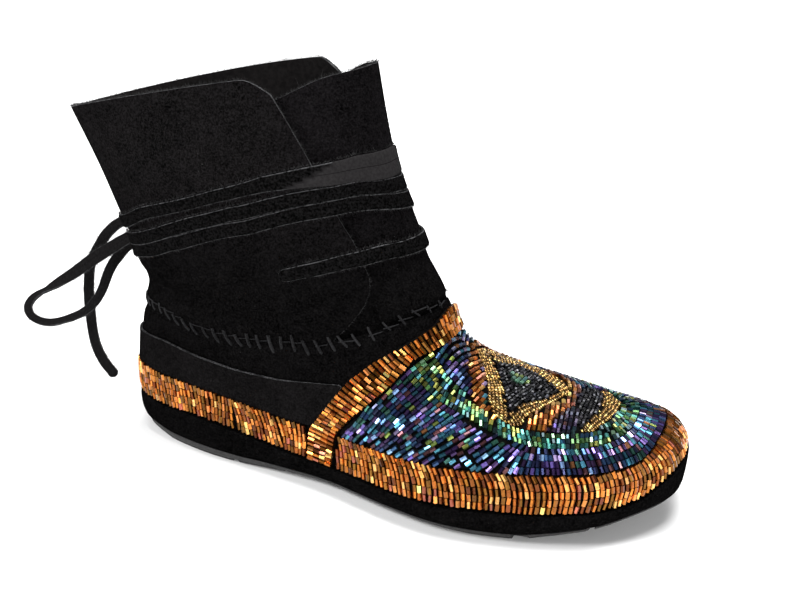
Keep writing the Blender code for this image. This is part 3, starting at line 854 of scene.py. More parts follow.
def layer(last: Last, v: Array, u: Array, outer: Array | float, inner: Array | float, rim_slot: int = 0,
          inner_slot: int = 0) -> Net:
    """A closed layer on the last over a grid of level rows and reaches, its rows going up.

    Args:
        last: the last.
        v: the grid's level rows.
        u: the grid's reaches.
        outer: how far out its outer face lies, in millimetres.
        inner: how far out its inner face lies.
        rim_slot: material slot of the rim.
        inner_slot: material slot of the inner face.

    Returns:
        The layer.
    """
    sheet = Net()
    sheet.rows(last.skin(v, u, outer))
    return walled(sheet, last.skin(v, u, inner), rim_slot, inner_slot)


def piece(name: str, mesh: Mesh, materials: Sequence[Material]) -> Object:
    """Make an object at the origin.

    Args:
        name: its name.
        mesh: its mesh.
        materials: its materials, in the order of the mesh's slots.

    Returns:
        The object.
    """
    thing = bpy.data.objects.new(name, mesh)
    bpy.context.scene.collection.objects.link(thing)
    for material in materials:
        mesh.materials.append(material)
    return thing


def settle(thing: Object) -> Object:
    """Turn an object's modifiers into plain mesh and take them off.

    Args:
        thing: the object.

    Returns:
        The same object.
    """
    graph = bpy.context.evaluated_depsgraph_get()
    mesh = bpy.data.meshes.new_from_object(thing.evaluated_get(graph), depsgraph=graph)
    mesh.name = thing.name
    thing.modifiers.clear()
    thing.data = mesh
    return thing


def rounded(thing: Object, width: float) -> Object:
    """Round the hard edges of a wall by a bevel, as plain mesh.

    Args:
        thing: the wall's object.
        width: the bevel's width in millimetres.

    Returns:
        The same object.
    """
    bevel = thing.modifiers.new("rounded", "BEVEL")
    bevel.width = width * MM
    bevel.segments = 2
    bevel.limit_method = "ANGLE"
    bevel.angle_limit = math.radians(55)
    return settle(thing)


def hand_over(thing: Object, *nodes: str, slot: str | None = None) -> Object:
    """Put a finished piece on the boot's one body.

    Args:
        thing: the piece.
        nodes: the solids that it stands for.
        slot: not used.

    Returns:
        The same piece.
    """
    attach(thing, ROOT)
    if nodes:
        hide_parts(*nodes)
    LOG.info("%s: %d faces", thing.name, len(thing.data.polygons))
    return thing


# ---- geometry nodes
class Tree(Board):
    """A geometry node tree with named inputs."""

    family = "GeometryNode"

    def __init__(self, name: str) -> None:
        """Start a tree with a geometry in and out.

        Args:
            name: the tree's name.
        """
        super().__init__(bpy.data.node_groups.new(name, "GeometryNodeTree"))
        for way in ("INPUT", "OUTPUT"):
            self.tree.interface.new_socket("Geometry", in_out=way, socket_type="NodeSocketGeometry")
        self.start = self.tree.nodes.new("NodeGroupInput")
        self.end = self.tree.nodes.new("NodeGroupOutput")
        self.points = self.start.outputs["Geometry"]

    def ask(self, name: str, kind: str, default: float | int | None = None) -> NodeSocket:
        """Add a named input.

        Args:
            name: its name.
            kind: its type, as in Int or Material.
            default: its value when nothing is given.

        Returns:
            Its socket inside the tree.
        """
        item = self.tree.interface.new_socket(name, in_out="INPUT", socket_type="NodeSocket" + kind)
        if default is not None:
            item.default_value = default
        return self.start.outputs[name]

    def named(self, name: str, kind: str = "FLOAT_VECTOR") -> NodeSocket:
        """A mesh attribute read in the tree."""
        return self.wire("InputNamedAttribute", {"data_type": kind}, Name=name)

    def pointed(self) -> NodeSocket:
        """The turn that brings a shape's length onto each point's own direction."""
        return self.wire("FunctionNodeAlignRotationToVector", {"axis": "Z"}, Vector=self.named("along"))

    def faced(self) -> NodeSocket:
        """The same turn with the shape's face outwards."""
        return self.wire("FunctionNodeAlignRotationToVector", {"axis": "X", "pivot_axis": "Z"},
                         Rotation=self.pointed(), Vector=self.named("out"))

    def planted(self, shape: NodeSocket, turn: NodeSocket, **more: object) -> NodeSocket:
        """Real copies of a shape on the tree's points, at each point's own size.

        Args:
            shape: the shape, or several as instances.
            turn: each copy's rotation.
            more: further inputs of Instance on Points.

        Returns:
            The copies' socket.
        """
        copies = self.wire("InstanceOnPoints", Points=self.points, Instance=shape, Rotation=turn,
                           Scale=self.named("size"), **more)
        return self.wire("RealizeInstances", None, copies)

    def grow(self, thing: Object, **values: object) -> None:
        """Run the tree on an object as a modifier and keep the plain mesh.

        Args:
            thing: the object whose points the tree reads.
            values: the tree's inputs, by name.
        """
        modifier = thing.modifiers.new(self.tree.name, "NODES")
        modifier.node_group = self.tree
        for item in self.tree.interface.items_tree:
            if item.in_out == "INPUT" and item.name in values:
                modifier[item.identifier] = values[item.name]
        settle(thing)


class Form(Enum):
    """The bead shapes, numbered as the bead tree picks them."""

    CUT = 0       # six-sided cut tube with flat facets
    TUBE = 1      # smooth round tube


class BeadTree(Tree):
    """Puts a bead on each loose point, along its string, and keeps the backing below."""

    def __init__(self) -> None:
        """Build the tree."""
        super().__init__("sewn_beads")
        sides = self.ask("Sides", "Int", 6)
        roll = self.ask("Roll", "Float", 0.52)
        seed = self.ask("Seed", "Int", 0)
        glass = self.ask("Glass", "Material")
        form = self.named("form", "INT")
        is_bead = self.wire("FunctionNodeCompare", {"data_type": "INT", "operation": "GREATER_EQUAL"},
                            A=form, B=0)
        real = self.planted(self._shapes(sides), self._turn(roll, seed), Selection=is_bead,
                            Pick_Instance=True, Instance_Index=form)
        backing = self.wire("DeleteGeometry", {"domain": "POINT"}, Geometry=self.points, Selection=is_bead)
        joined = self.node("JoinGeometry")
        self.feed(joined.inputs[0], backing)
        self.feed(joined.inputs[0], self.wire("SetMaterial", Geometry=real, Material=glass))
        self.feed(self.end.inputs[0], joined.outputs[0])

    def _shapes(self, sides: NodeSocket) -> NodeSocket:
        """Make the bead shapes.

        Args:
            sides: the cut tube's number of sides.

        Returns:
            The shapes as instances, in the order of Form.
        """
        cut, tube = (self.node("MeshCylinder", {"fill_type": "NGON"}, Vertices=count, Side_Segments=1,
                               Radius=0.5, Depth=1.0) for count in (sides, 8))
        facets = self.wire("SetShadeSmooth", Geometry=cut.outputs[0], Shade_Smooth=False)
        caps = self.wire("SetShadeSmooth", Geometry=tube.outputs[0], Selection=tube.outputs["Side"],
                         Shade_Smooth=True)
        gathered = self.node("GeometryToInstance")
        for shape in (caps, facets):      # the last link comes out first
            self.feed(gathered.inputs[0], shape)
        return gathered.outputs[0]

    def _turn(self, roll: NodeSocket, seed: NodeSocket) -> NodeSocket:
        """Turn each bead along its string, its face outwards, with a random roll.

        Args:
            roll: the largest roll, in radians.
            seed: the random seed.

        Returns:
            The beads' rotations.
        """
        back = self.wire("ShaderNodeMath", {"operation": "MULTIPLY"}, roll, -1.0)
        chance = self.wire("FunctionNodeRandomValue", {"data_type": "FLOAT"}, Min=back, Max=roll, Seed=seed)
        spin = self.wire("FunctionNodeAxisAngleToRotation", Axis=(0, 0, 1), Angle=chance)
        return self.wire("FunctionNodeRotateRotation", {"rotation_space": "LOCAL"}, Rotation=self.faced(),
                         Rotate_By=spin)


class StitchTree(Tree):
    """Puts a bent bit of yarn on each point, both of its ends sunk in the leather."""

    def __init__(self) -> None:
        """Build the tree."""
        super().__init__("bent_stitches")
        thick = self.ask("Thickness", "Float", 0.16)
        sides = self.ask("Sides", "Int", 6)
        yarn = self.ask("Yarn", "Material")
        bend = self.wire("CurveQuadraticBezier", Resolution=6, Start=(0, 0, -0.5), Middle=(0.30, 0, 0),
                         End=(0, 0, 0.5))
        profile = self.wire("CurvePrimitiveCircle", {"mode": "RADIUS"}, Resolution=sides, Radius=thick)
        strand = self.wire("CurveToMesh", Curve=bend, Profile_Curve=profile, Fill_Caps=True)
        soft = self.wire("SetShadeSmooth", Geometry=self.planted(strand, self.faced()), Shade_Smooth=True)
        self.feed(self.end.inputs[0], self.wire("SetMaterial", Geometry=soft, Material=yarn))


class FibreTree(Tree):
    """Puts a thin pointed fibre on each point."""

    def __init__(self) -> None:
        """Build the tree."""
        super().__init__("loose_fibres")
        sides = self.ask("Sides", "Int", 3)
        dye = self.ask("Fibre", "Material")
        cone = self.wire("MeshCone", {"fill_type": "NGON"}, Vertices=sides, Side_Segments=1, Radius_Top=0.12,
                         Radius_Bottom=0.5, Depth=1.0)
        sown = self.planted(cone, self.pointed())
        self.feed(self.end.inputs[0], self.wire("SetMaterial", Geometry=sown, Material=dye))


class Mark(NamedTuple):
    """An oriented point for a tree, its place and size in millimetres."""

    place: Array
    along: Array
    out: Array
    size: tuple[float, float, float]
    tint: Colour = (1, 1, 1)
    form: int = 0


def seeded(name: str, marks: Sequence[Mark], materials: Sequence[Material],
           backing: Net | None = None) -> Object:
    """Loose points for a tree, with the attributes that it reads.

    Args:
        name: the object's name.
        marks: the points.
        materials: the object's materials.
        backing: faces that lie below the points.

    Returns:
        The object.
    """
    net = backing or Net()
    under = net.add([mark.place for mark in marks])
    mesh = net.mesh(name)
    for key, kind, value, scale, blank in (
            ("along", "FLOAT_VECTOR", "vector", 1, np.float32([0, 0, 1])),
            ("out", "FLOAT_VECTOR", "vector", 1, np.float32([1, 0, 0])),
            ("size", "FLOAT_VECTOR", "vector", MM, np.float32([0, 0, 0])),
            ("tint", "FLOAT_COLOR", "color", 1, np.float32([1, 1, 1, 1])),
            ("form", "INT", "value", 1, np.int32([-1]))):
        table = np.tile(blank, (net.count, 1))
        values = np.array([getattr(mark, key) for mark in marks]).reshape(len(marks), -1) * scale
        table[under:, :values.shape[1]] = values
        mesh.attributes.new(key, kind, "POINT").data.foreach_set(value, table.ravel())
    return piece(name, mesh, materials)


# ---- thong
def wave_route(points: Sequence[Sequence[float]], spacing: float) -> Array:
    """A Catmull-Rom curve through a route.

    Args:
        points: the route's points.
        spacing: how far apart the curve's points are wanted.

    Returns:
        The curve's points, evenly spaced.
    """
    route = np.array(points, float)
    padded = np.concatenate([[route[0] * 2 - route[1]], route, [route[-1] * 2 - route[-2]]])
    t = np.linspace(0, 1, 24, endpoint=False)[:, None]
    fine = [0.5 * (2 * b + (c - a) * t + (2 * a - 5 * b + 4 * c - d) * t * t
                   + (3 * b - a - 3 * c + d) * t ** 3)
            for a, b, c, d in zip(padded, padded[1:], padded[2:], padded[3:])]
    line = np.concatenate([*fine, route[-1:]])
    along = lengths(line)
    return read(np.linspace(0, along[-1], max(3, round(along[-1] / spacing) + 1)), along, line)


# The strip's cross section: share of its half width, and height in half thicknesses.
STRIP_SECTION = (
    (-1.0, 0.0), (-0.97, 0.62), (-0.86, 0.93), (-0.55, 1.0), (-0.2, 0.96), (0.2, 0.96), (0.55, 1.0),
    (0.86, 0.93), (0.97, 0.62), (1.0, 0.0), (0.95, -0.72), (0.6, -1.0), (0.0, -0.96), (-0.6, -1.0),
    (-0.95, -0.72),
)


def tapered(count: int, steps: float) -> Array:
    """A strip's size as a share of the full one, rounded off over some steps at both ends."""
    ends = np.minimum(np.arange(count), np.arange(count)[::-1]) / steps
    return np.sqrt(np.clip(1 - (1 - np.clip(ends, 0, 1)) ** 2, 0.12, 1))


def nicks(rng: np.random.Generator, count: int, share: float) -> Array:
    """Make small nicks along a strip's cut edges, and none on its faces.

    Args:
        rng: the strip's random numbers.
        count: how many steps the strip has.
        share: the place in its section, as in STRIP_SECTION.

    Returns:
        How far each step is moved, in millimetres.
    """
    if abs(share) <= 0.9:
        return np.zeros(count)
    return np.convolve(rng.normal(0, 0.05, count + 2), np.ones(3) / 1.7, "valid")


def swept(route: Array, width: Array, thick: float, facing: Array) -> Array:
    """A flat thong's sections along a route.

    Args:
        route: the middle's points.
        width: the width at each of them.
        thick: the thickness.
        facing: the way that the face looks at each of them.

    Returns:
        Points, by step along the route and by STRIP_SECTION.
    """
    ahead = unit(np.gradient(route, axis=0))
    out = unit(facing - (facing * ahead).sum(axis=1, keepdims=True) * ahead)
    side = np.cross(ahead, out)
    rng = np.random.default_rng(5)
    count = len(route)
    size = tapered(count, 1.6)
    wobble = np.convolve(rng.normal(0, 0.11, count + 8), np.ones(9) / 3.0, "valid")
    half = width / 2 * (1 + 0.05 * wobble) * size
    return np.stack([route + side * (s * half + nicks(rng, count, s))[:, None]
                     + out * (h * thick / 2 * size ** 0.5)[:, None] for s, h in STRIP_SECTION], axis=1)


def strip_piece(name: str, table: Array, leather: Array, thong: Material, turned: bool = False) -> Object:
    """A thong's piece, with what its finish reads.

    Args:
        name: the piece's name.
        table: points, by step along the thong and by STRIP_SECTION.
        leather: how much of the smooth side shows at each point, 0 to 1.
        thong: the thong's material.
        turned: whether the sections run the other way round.

    Returns:
        The piece.
    """
    net = Net()
    numbers = net.rows(table, closed=True, turned=turned)
    for ring in (numbers[0], numbers[-1][::-1]):
        net.face(tuple(ring[::-1] if turned else ring))
    mesh = net.mesh(name)
    across = np.tile(column(STRIP_SECTION, 0), len(table))
    for key, values in (("across", across), ("smooth", leather)):
        attribute = mesh.attributes.new(key, "FLOAT", "POINT")
        attribute.data.foreach_set("value", values.astype(np.float32).ravel())
    return piece(name, mesh, [thong])


@dataclass
class Part:
    """What every sub-assembly has: the last that it follows and the finishes."""

    last: Last
    finishes: Finishes


class Hang(NamedTuple):
    """A run of the bow: its far end, its lay, its route, and its rolls and widths along it."""

    name: str
    node: str
    far_end: str
    lay: str
    route: tuple[tuple[float, float, float], ...]
    rolls: tuple[float, ...] = (0,)
    widths: tuple[float, ...] = (1.0,)


BOW = (
    Hang("thong_end_near", "bow_end_near", "bare", "hanging", (
        (-9.4, 18.3, 95.2), (-18, 19.5, 93.8), (-26.5, 20, 91), (-35, 21, 84.5), (-43, 21.5, 74.5),
        (-47.5, 21, 65.5), (-49, 20, 54), (-49, 19.5, 42), (-47.5, 18, 32.5), (-43.5, 15, 23.5),
        (-36.5, 12, 16), (-28.5, 10, 10.5)), (40, 20, 8, 0, 0, 4, 0, -6, 0, 6, 0, 0)),
    Hang("thong_loop_near", "bow_loop_near", "object", "loose", (
        (-8.4, 13.7, 91.5), (-16, 12.5, 86.8), (-26, 12.5, 80.5), (-37, 13, 73.5), (-54, 14, 61.5),
        (-71.5, 15, 50.5), (-82, 15, 43.5), (-85, 14, 38), (-81.5, 13, 33.5), (-71.5, 12, 32.5),
        (-59, 11, 36.5), (-47, 11, 42.5), (-39.5, 11.5, 49), (-35, 13, 56.5), (-33, 15.5, 64),
        (-30.5, 18.5, 70.5), (-25, 20.5, 77.5), (-17.5, 21, 84), (-9.2, 19.8, 90.2)),
        (10, 5, 0, 0, 0, 4, 25, 60, 20, -15, -30, -34, -20, 0, 10, 20, 30, 30, 30),
        (1.0, 1.12, 1.22, 1.25, 1.2, 1.1, 1.0, 0.9, 0.85, 0.82, 0.8, 0.8, 0.8, 0.85, 0.9, 0.95, 1, 1, 1)),
    Hang("thong_loop_far", "bow_loop_far", "object", "loose", (
        (-5.8, 23.4, 99.4), (-8, 33, 97.5), (-6.5, 44, 88), (-3, 56, 73), (2, 64, 56), (7, 67, 44),
        (12, 64, 38), (14, 57, 42), (13, 49, 55), (10, 41, 70), (5.4, 33, 81), (0.8, 25.8, 90))),
    Hang("thong_end_far", "bow_end_far", "bare", "hanging", (
        (-5.4, 22.8, 91.4), (-5.4, 30, 81.5), (-1, 36.5, 68), (6, 39, 53), (10, 39.5, 40), (11, 40, 29),
        (10, 41, 20))),
)


@dataclass
class Bow(Part):
    """The tie's bow behind the shaft: a knot, two loops and two ends of one suede thong."""

    width: float = 5.4
    thick: float = 2.0
    spacing: float = 1.3
    knot_place: tuple[float, float, float] = (-3.2, 17.0, 96.0)
    knot_size: tuple[float, float, float] = (15.0, 10.0, 13.0)
    knot_turn: float = 55.0
    knot_width: float = 4.6
    knot_thick: float = 2.2
    # share of the smooth side's grey mixed all along the bow's thong, which makes it lighter than the tie
    smooth_share: float = 0.35
    facing: Colour = (0.33, -0.88, 0.34)

    def build(self) -> None:
        """Make and hand over the knot and the four runs."""
        knot = self._knot()
        for hang in BOW:
            route = wave_route(hang.route, self.spacing)
            rolls, widths = (np.interp(np.linspace(0, 1, len(route)), np.linspace(0, 1, len(values)), values)
                             for values in (np.radians(hang.rolls), hang.widths))
            table = swept(route, self.width * widths, self.thick, self._faces(route, rolls))
            thing = strip_piece(hang.name, table, np.full(table.shape[:2], self.smooth_share), self.finishes["thong"])
            hand_over(thing, hang.node, slot="tie_thong")

    def _faces(self, route: Array, rolls: Array) -> Array:
        """Find the way a run's face looks.

        Args:
            route: the run's points.
            rolls: how far it is rolled about its route at each of them, in radians.

        Returns:
            The directions.
        """
        ahead = unit(np.gradient(route, axis=0))
        base = np.tile(np.array(self.facing), (len(route), 1))
        flat = unit(base - (base * ahead).sum(axis=1, keepdims=True) * ahead)
        return flat * np.cos(rolls)[:, None] + np.cross(ahead, flat) * np.sin(rolls)[:, None]

    def _knot(self) -> Object:
        """Make and hand over the loose overhand knot, a thong wound over itself on three lobes.

        Returns:
            The knot's piece.
        """
        turns = np.linspace(0, 2 * np.pi, 110)[:-1]
        lobes = np.stack([np.sin(turns) + 2 * np.sin(2 * turns), np.cos(turns) - 2 * np.cos(2 * turns),
                          -np.sin(3 * turns)], axis=1) / (3.0, 3.0, 1.0)
        room = (np.array(self.knot_size) - self.knot_width * 0.8) / 2
        turn = np.array(Matrix.Rotation(math.radians(self.knot_turn), 3, "Z"))
        route = (lobes * room)[:, [0, 2, 1]] @ turn.T + self.knot_place
        route = np.concatenate([route, route[:2]])
        table = swept(route, np.full(len(route), self.knot_width), self.knot_thick,
                      route - self.knot_place + 1e-3)
        knot = strip_piece("thong_knot", table, np.zeros(table.shape[:2]), self.finishes["thong"])
        return hand_over(knot, "bow_knot", slot="tie_thong")


# The tie's route: turn counted in half loops, height over the floor, width.
TIE_ROUTE = (
    (-0.60, 96.9, 5.2), (-0.70, 101.7, 5.4), (-0.79, 106.1, 5.8), (-0.88, 108.8, 6.0), (-0.97, 109.9, 6.0),
    (-1.08, 109.1, 6.0), (-1.4, 102.0, 6.0), (-1.75, 93.0, 6.0), (-2.0, 90.4, 5.6), (-2.18, 95.4, 5.6),
    (-2.36, 105.3, 5.6), (-2.48, 112.2, 5.6), (-2.59, 117.6, 5.6), (-2.74, 124.8, 5.8), (-2.87, 128.3, 5.9),
    (-3.0, 126.8, 6.2), (-3.4, 115.9, 6.2), (-3.75, 101.0, 6.0), (-4.0, 96.2, 5.6), (-4.18, 100.7, 5.3),
    (-4.29, 106.5, 5.2), (-4.43, 115.0, 5.5), (-4.58, 123.1, 5.5), (-4.72, 129.8, 5.6), (-4.79, 132.0, 5.4),
    (-4.88, 133.9, 5.3), (-5.0, 133.2, 5.6), (-5.4, 122.5, 6.2), (-5.75, 107.5, 6.0), (-6.0, 103.0, 5.6),
    (-6.17, 108.0, 5.4), (-6.28, 115.2, 5.2), (-6.43, 123.1, 4.9), (-6.53, 128.8, 5.0), (-6.60, 132.3, 5.3),
    (-6.66, 135.4, 6.2), (-6.75, 138.5, 7.8), (-6.82, 140.3, 9.2), (-6.90, 141.9, 10.6), (-7.0, 142.3, 11.2),
    (-7.15, 139.6, 9.6), (-7.4, 131.0, 7.6), (-7.75, 114.8, 6.2), (-7.90, 111.2, 6.0),
)


@dataclass
class Tie(Part):
    """The thong wound four times round the shaft, lying on the flaps and the front panel."""

    gap: float = 0.25
    thick: float = 1.3
    step: float = 0.008
    drop_from: float = 0.81
    drop_to: float = 0.88
    drop: float = 3.1
    leather_from: float = 6.75
    leather_to: float = 7.15
    seed: int = 9

    def build(self) -> None:
        """Make and hand over the tie."""
        turns = np.arange(TIE_ROUTE[0][0], TIE_ROUTE[-1][0], -self.step)
        count = len(turns)
        route = TIE_ROUTE[::-1]
        height, width = (smooth(column(route, 0), column(route, k), turns) for k in (1, 2))
        rng = np.random.default_rng(self.seed)
        sway = np.convolve(rng.normal(0, 1, count + 14), np.hanning(15) / 4.0, "valid")
        u = (turns + 1) % 2 - 1
        base = self.gap - smooth((self.drop_from, self.drop_to), (0, self.drop), near_side(u))
        size = tapered(count, 2.2)
        rings = []
        for s, h in STRIP_SECTION:
            at = height + (s * width / 2) * size + nicks(rng, count, s) + 0.15 * sway
            out = base + self.thick * (0.5 + 0.5 * h * size ** 0.5) + np.maximum(0.22 * s * sway, 0)
            rings.append(self.last.skin(self.last.row_at_height(u, at), u, out))
        across = np.array(column(STRIP_SECTION, 0))
        leather = (np.clip((-turns[:, None] - 0.065 * across - self.leather_from) / 0.008, 0, 1)
                   * np.clip((self.leather_to + turns[:, None]) / 0.05, 0, 1))
        tie = strip_piece("wound_tie", np.stack(rings, axis=1), leather, self.finishes["thong"], turned=True)
        hand_over(tie, "wrap_tie", slot="tie_thong")


# ---- sole
class Ground(NamedTuple):
    """The sole at x: height off the ground, the sidewall's reach out, the rubber's set-in and thickness."""

    x: float
    height: float
    outset: float
    undercut: float
    thick: float


SOLE_LINE = tuple(Ground(*row) for row in (
    (0, 0.6, 2.5, 4.2, 4.4), (12, 0.1, 2.5, 3.8, 4.6), (28, 0.0, 2.5, 1.5, 4.8), (50, 0.0, 2.5, 0.7, 4.8),
    (65, 0.3, 2.5, 1.3, 4.4), (80, 1.2, 2.5, 2.5, 3.8), (100, 2.4, 2.5, 3.3, 3.0), (120, 3.2, 2.5, 3.6, 2.6),
    (145, 3.3, 2.5, 3.8, 2.4), (165, 2.0, 2.5, 4.2, 2.8), (182, 0.3, 2.5, 4.8, 3.4),
    (196, 0.2, 2.5, 4.9, 3.4), (211, 2.8, 2.5, 4.4, 2.8), (222, 5.4, 2.5, 3.5, 2.4),
    (234, 7.6, 2.6, 2.7, 2.2), (246, 9.4, 3.4, 2.7, 2.2), (258, 10.4, 4.6, 3.5, 2.2),
))
# The tread's cross grooves: x, width and slant in degrees.
GROOVES = ((60, 3.2, 8), (88, 3.2, 6), (113, 3.2, 4), (204, 6.5, -6), (232, 2.6, -10))
# Level rows by which the sidewall and the bead rand climb beside the heel and at the toe, by reach.
CLIMB = ((0.0, 0.0), (0.10, 0.0), (0.14, 0.12), (0.19, 0.26), (0.25, 0.28), (0.30, 0.20), (0.37, 0.0),
         (0.85, 0.0), (0.88, 0.12), (0.90, 0.40), (0.92, 0.68), (0.95, 1.0), (1.0, 0.95))
ROW_TALL = 8.0            # millimetres of height to a row in the rand
# Rings inwards and upwards: the rubber in millimetres and shares of its thickness, the sidewall in
# shares of the undercut and of the way up to the feather line, the insole in millimetres.
RUBBER_RINGS = ((2.6, 0.0), (2.05, 0.05), (1.85, 0.14), (1.75, 0.34), (0.9, 0.38), (0.45, 0.44), (0.1, 0.60),
                (-0.25, 0.85), (-0.2, 0.95), (0.0, 1.0))
SIDEWALL_RINGS = ((1.0, 0.0), (0.80, 0.03), (0.56, 0.10), (0.38, 0.19), (0.24, 0.30), (0.11, 0.45),
                  (0.03, 0.62), (0.0, 0.76), (0.0, 0.88), (0.03, 0.95), (0.10, 1.0))
INSOLE_RINGS = ((0.0, 0.0), (0.0, 2.1), (0.3, 2.7), (1.1, 3.0))


def rand_climb(u: Array | float) -> Array:
    """Level rows by which the sidewall's top edge climbs at a reach."""
    return smooth(column(CLIMB, 0), column(CLIMB, 1), near_side(u))


def sole_value(name: str, x: Array | float) -> Array:
    """A column of SOLE_LINE at x."""
    return smooth(column(SOLE_LINE, 0), [getattr(row, name) for row in SOLE_LINE], x)


@dataclass
class Bottom(Part):
    """Rubber outsole, suede-wrapped midsole and insole, built as rings round the foot's outline."""

    columns: int = 192
    groove_depth: float = 2.2
    insole_inset: float = 2.9
    cutter_half: float = 90.0
    cutter_tall: float = 10.0
    sharp: float = 38.0

    def build(self) -> None:
        """Make and hand over the three pieces."""
        sole = self._solid("rubber_outsole", "rubber", RUBBER_RINGS,
                           lambda x, inward: sole_value("outset", x) - sole_value("undercut", x) - inward,
                           lambda x, rise: sole_value("height", x) + rise * sole_value("thick", x))
        self._groove(sole)
        hand_over(sole, "outsole", slot="outsole_rubber")
        wrapped = self._solid("suede_midsole", "suede", SIDEWALL_RINGS,
                              lambda x, inward: sole_value("outset", x) - inward * sole_value("undercut", x),
                              self._sidewall)
        hand_over(wrapped, "wrapped_midsole", slot="midsole_suede")
        sock = self._solid("insole_sock", "sock", INSOLE_RINGS,
                           lambda x, inward: np.full(len(x), -self.insole_inset - inward),
                           lambda x, rise: self._feather(x) + rise)
        hand_over(sock, "insole", slot="insole_sock")

    def _reaches(self) -> Array:
        """The reaches of a ring's points."""
        return -1 + 2 * np.arange(self.columns) / self.columns

    def _feather(self, x: Array) -> Array:
        """Find the height of the upper's bottom edge.

        Args:
            x: where along the foot.

        Returns:
            The heights.
        """
        level = LEVELS[0]
        along = np.clip((x - level.x_back) / (level.x_front - level.x_back), 0, 1)
        return smooth(Z_STATIONS, (level.z_back, level.z_waist, level.z_ball, level.z_front), along)

    def _sidewall(self, x: Array, rise: float) -> Array:
        """Find the heights of one ring of the sidewall.

        Args:
            x: the x of the ring's points.
            rise: its share of the way from the rubber to the feather line.

        Returns:
            The heights.
        """
        low = sole_value("height", x) + sole_value("thick", x) + CLEARANCE
        climb = ROW_TALL * rand_climb(self._reaches())
        return low + rise * (self._feather(x) - CLEARANCE - low) + rise ** 2 * climb

    def _solid(self, name: str, finish: str, section: Pairs, out: Callable[[Array, float], Array],
               height: Callable[[Array, float], Array]) -> Object:
        """Build a solid of closed rings with caps that run across the foot.

        Args:
            name: the piece's name.
            finish: its finish.
            section: two numbers for each ring, the lowest ring first.
            out: the millimetres outwards, from the outline's x and a ring's first number.
            height: the heights, from the ring's x and its second number.

        Returns:
            The piece.
        """
        u = self._reaches()
        base = self.last.skin(0.0, u)
        around = self.last.skin(0.0, u + 0.008) - self.last.skin(0.0, u - 0.008)
        outward = unit(np.stack([-around[:, 1], around[:, 0], np.zeros(len(u))], axis=1))
        rings = []
        for inward, rise in section:
            ring = base + outward * out(base[:, 0], inward)[:, None]
            ring[:, 2] = height(ring[:, 0], rise)
            rings.append(ring)
        net = Net()
        numbers = net.rows(rings, closed=True)
        half = self.columns // 2
        for ring, turned in ((numbers[0], True), (numbers[-1], False)):
            for i in range(half):
                far, near = (half + i + 1) % self.columns, (half + i) % self.columns
                cap = tuple(dict.fromkeys((ring[half - i], ring[half - i - 1], ring[far], ring[near])))
                net.face(cap[::-1] if turned else cap)
        mesh = net.mesh(name)
        mesh.set_sharp_from_angle(angle=math.radians(self.sharp))
        return piece(name, mesh, [self.finishes[finish]])

    def _groove(self, sole: Object) -> None:
        """Cut the tread's cross grooves.

        Args:
            sole: the rubber's piece.
        """
        cutters = []
        for x, width, slant in GROOVES:
            bpy.ops.mesh.primitive_cube_add(size=1)
            cutter = bpy.context.active_object
            cutter.scale = np.array([width, 2 * self.cutter_half, self.cutter_tall]) * MM
            top = float(sole_value("height", x)) + self.groove_depth
            cutter.location = metres([x, 0, top - self.cutter_tall / 2])
            cutter.rotation_euler.z = math.radians(slant)
            cutters.append(cutter)
            cut = sole.modifiers.new("groove", "BOOLEAN")
            cut.operation, cut.object, cut.solver = "DIFFERENCE", cutter, "EXACT"
        settle(sole)
        for cutter in cutters:
            bpy.data.objects.remove(cutter)


# ---- upper
# Each flap's front edge as level row and reach, and where its collar corner starts to round off.
FLAP_EDGE = ((10.0, 82 / 120), (10.15, 0.703), (10.4, 0.742), (10.7, 0.781), (11.0, 0.799), (11.4, 0.805),
             (12.2, 0.800), (12.6, 0.790), (13.6, 0.766), (14.15, 0.746), (14.6, 0.727), (15.0, 0.706))
FLAP_CORNER_ROW, FLAP_CORNER_REACH = 0.25, 0.664
PANEL_TOP = ((14.45, 0.50), (14.62, 0.70), (14.92, 0.86), (15.0, 1.0))
# How deep the front panel's middle lies under the last's skin, in millimetres, by level row.
PANEL_DEEP = ((9.4, 2.7), (10.0, 2.5), (10.18, 0.5), (10.4, 1.0), (10.75, 2.5), (11.2, 3.9), (11.7, 4.0),
              (12.1, 3.2), (13.0, 2.7), (15.0, 2.7))
PANEL_SIDE, PANEL_MIDDLE = 0.81, 0.90     # reaches between which the flaps' cover ends
PANEL_RECESS = 2.7


def flap_grid(share: Array | float, spread: Array) -> tuple[Array, Array]:
    """Where a point of the flaps lies.

    Args:
        share: how far up the flap, 0 to 1.
        spread: how far round, from -1 at one front edge to 1 at the other.

    Returns:
        The level rows and the reaches.
    """
    reach = FLAP_EDGE[-1][1]
    corner = np.clip((np.abs(spread) * reach - FLAP_CORNER_REACH) / (reach - FLAP_CORNER_REACH), 0, 1)
    row = WHIP_ROW + share * (COLLAR_ROW - FLAP_CORNER_ROW * corner ** 2 - WHIP_ROW)
    return row, spread * smooth(column(FLAP_EDGE, 0), column(FLAP_EDGE, 1), row)


def panel_top(reach: Array) -> Array:
    """The level row of the front panel's top edge."""
    return smooth(column(PANEL_TOP, 1), column(PANEL_TOP, 0), near_side(reach))


def panel_depth(row: Array, reach: Array) -> Array:
    """How far under the last's skin the front panel's face lies."""
    deep = smooth(column(PANEL_DEEP, 0), column(PANEL_DEEP, 1), row)
    return PANEL_RECESS + smooth((PANEL_SIDE, PANEL_MIDDLE), (0, 1), near_side(reach)) * (deep - PANEL_RECESS)


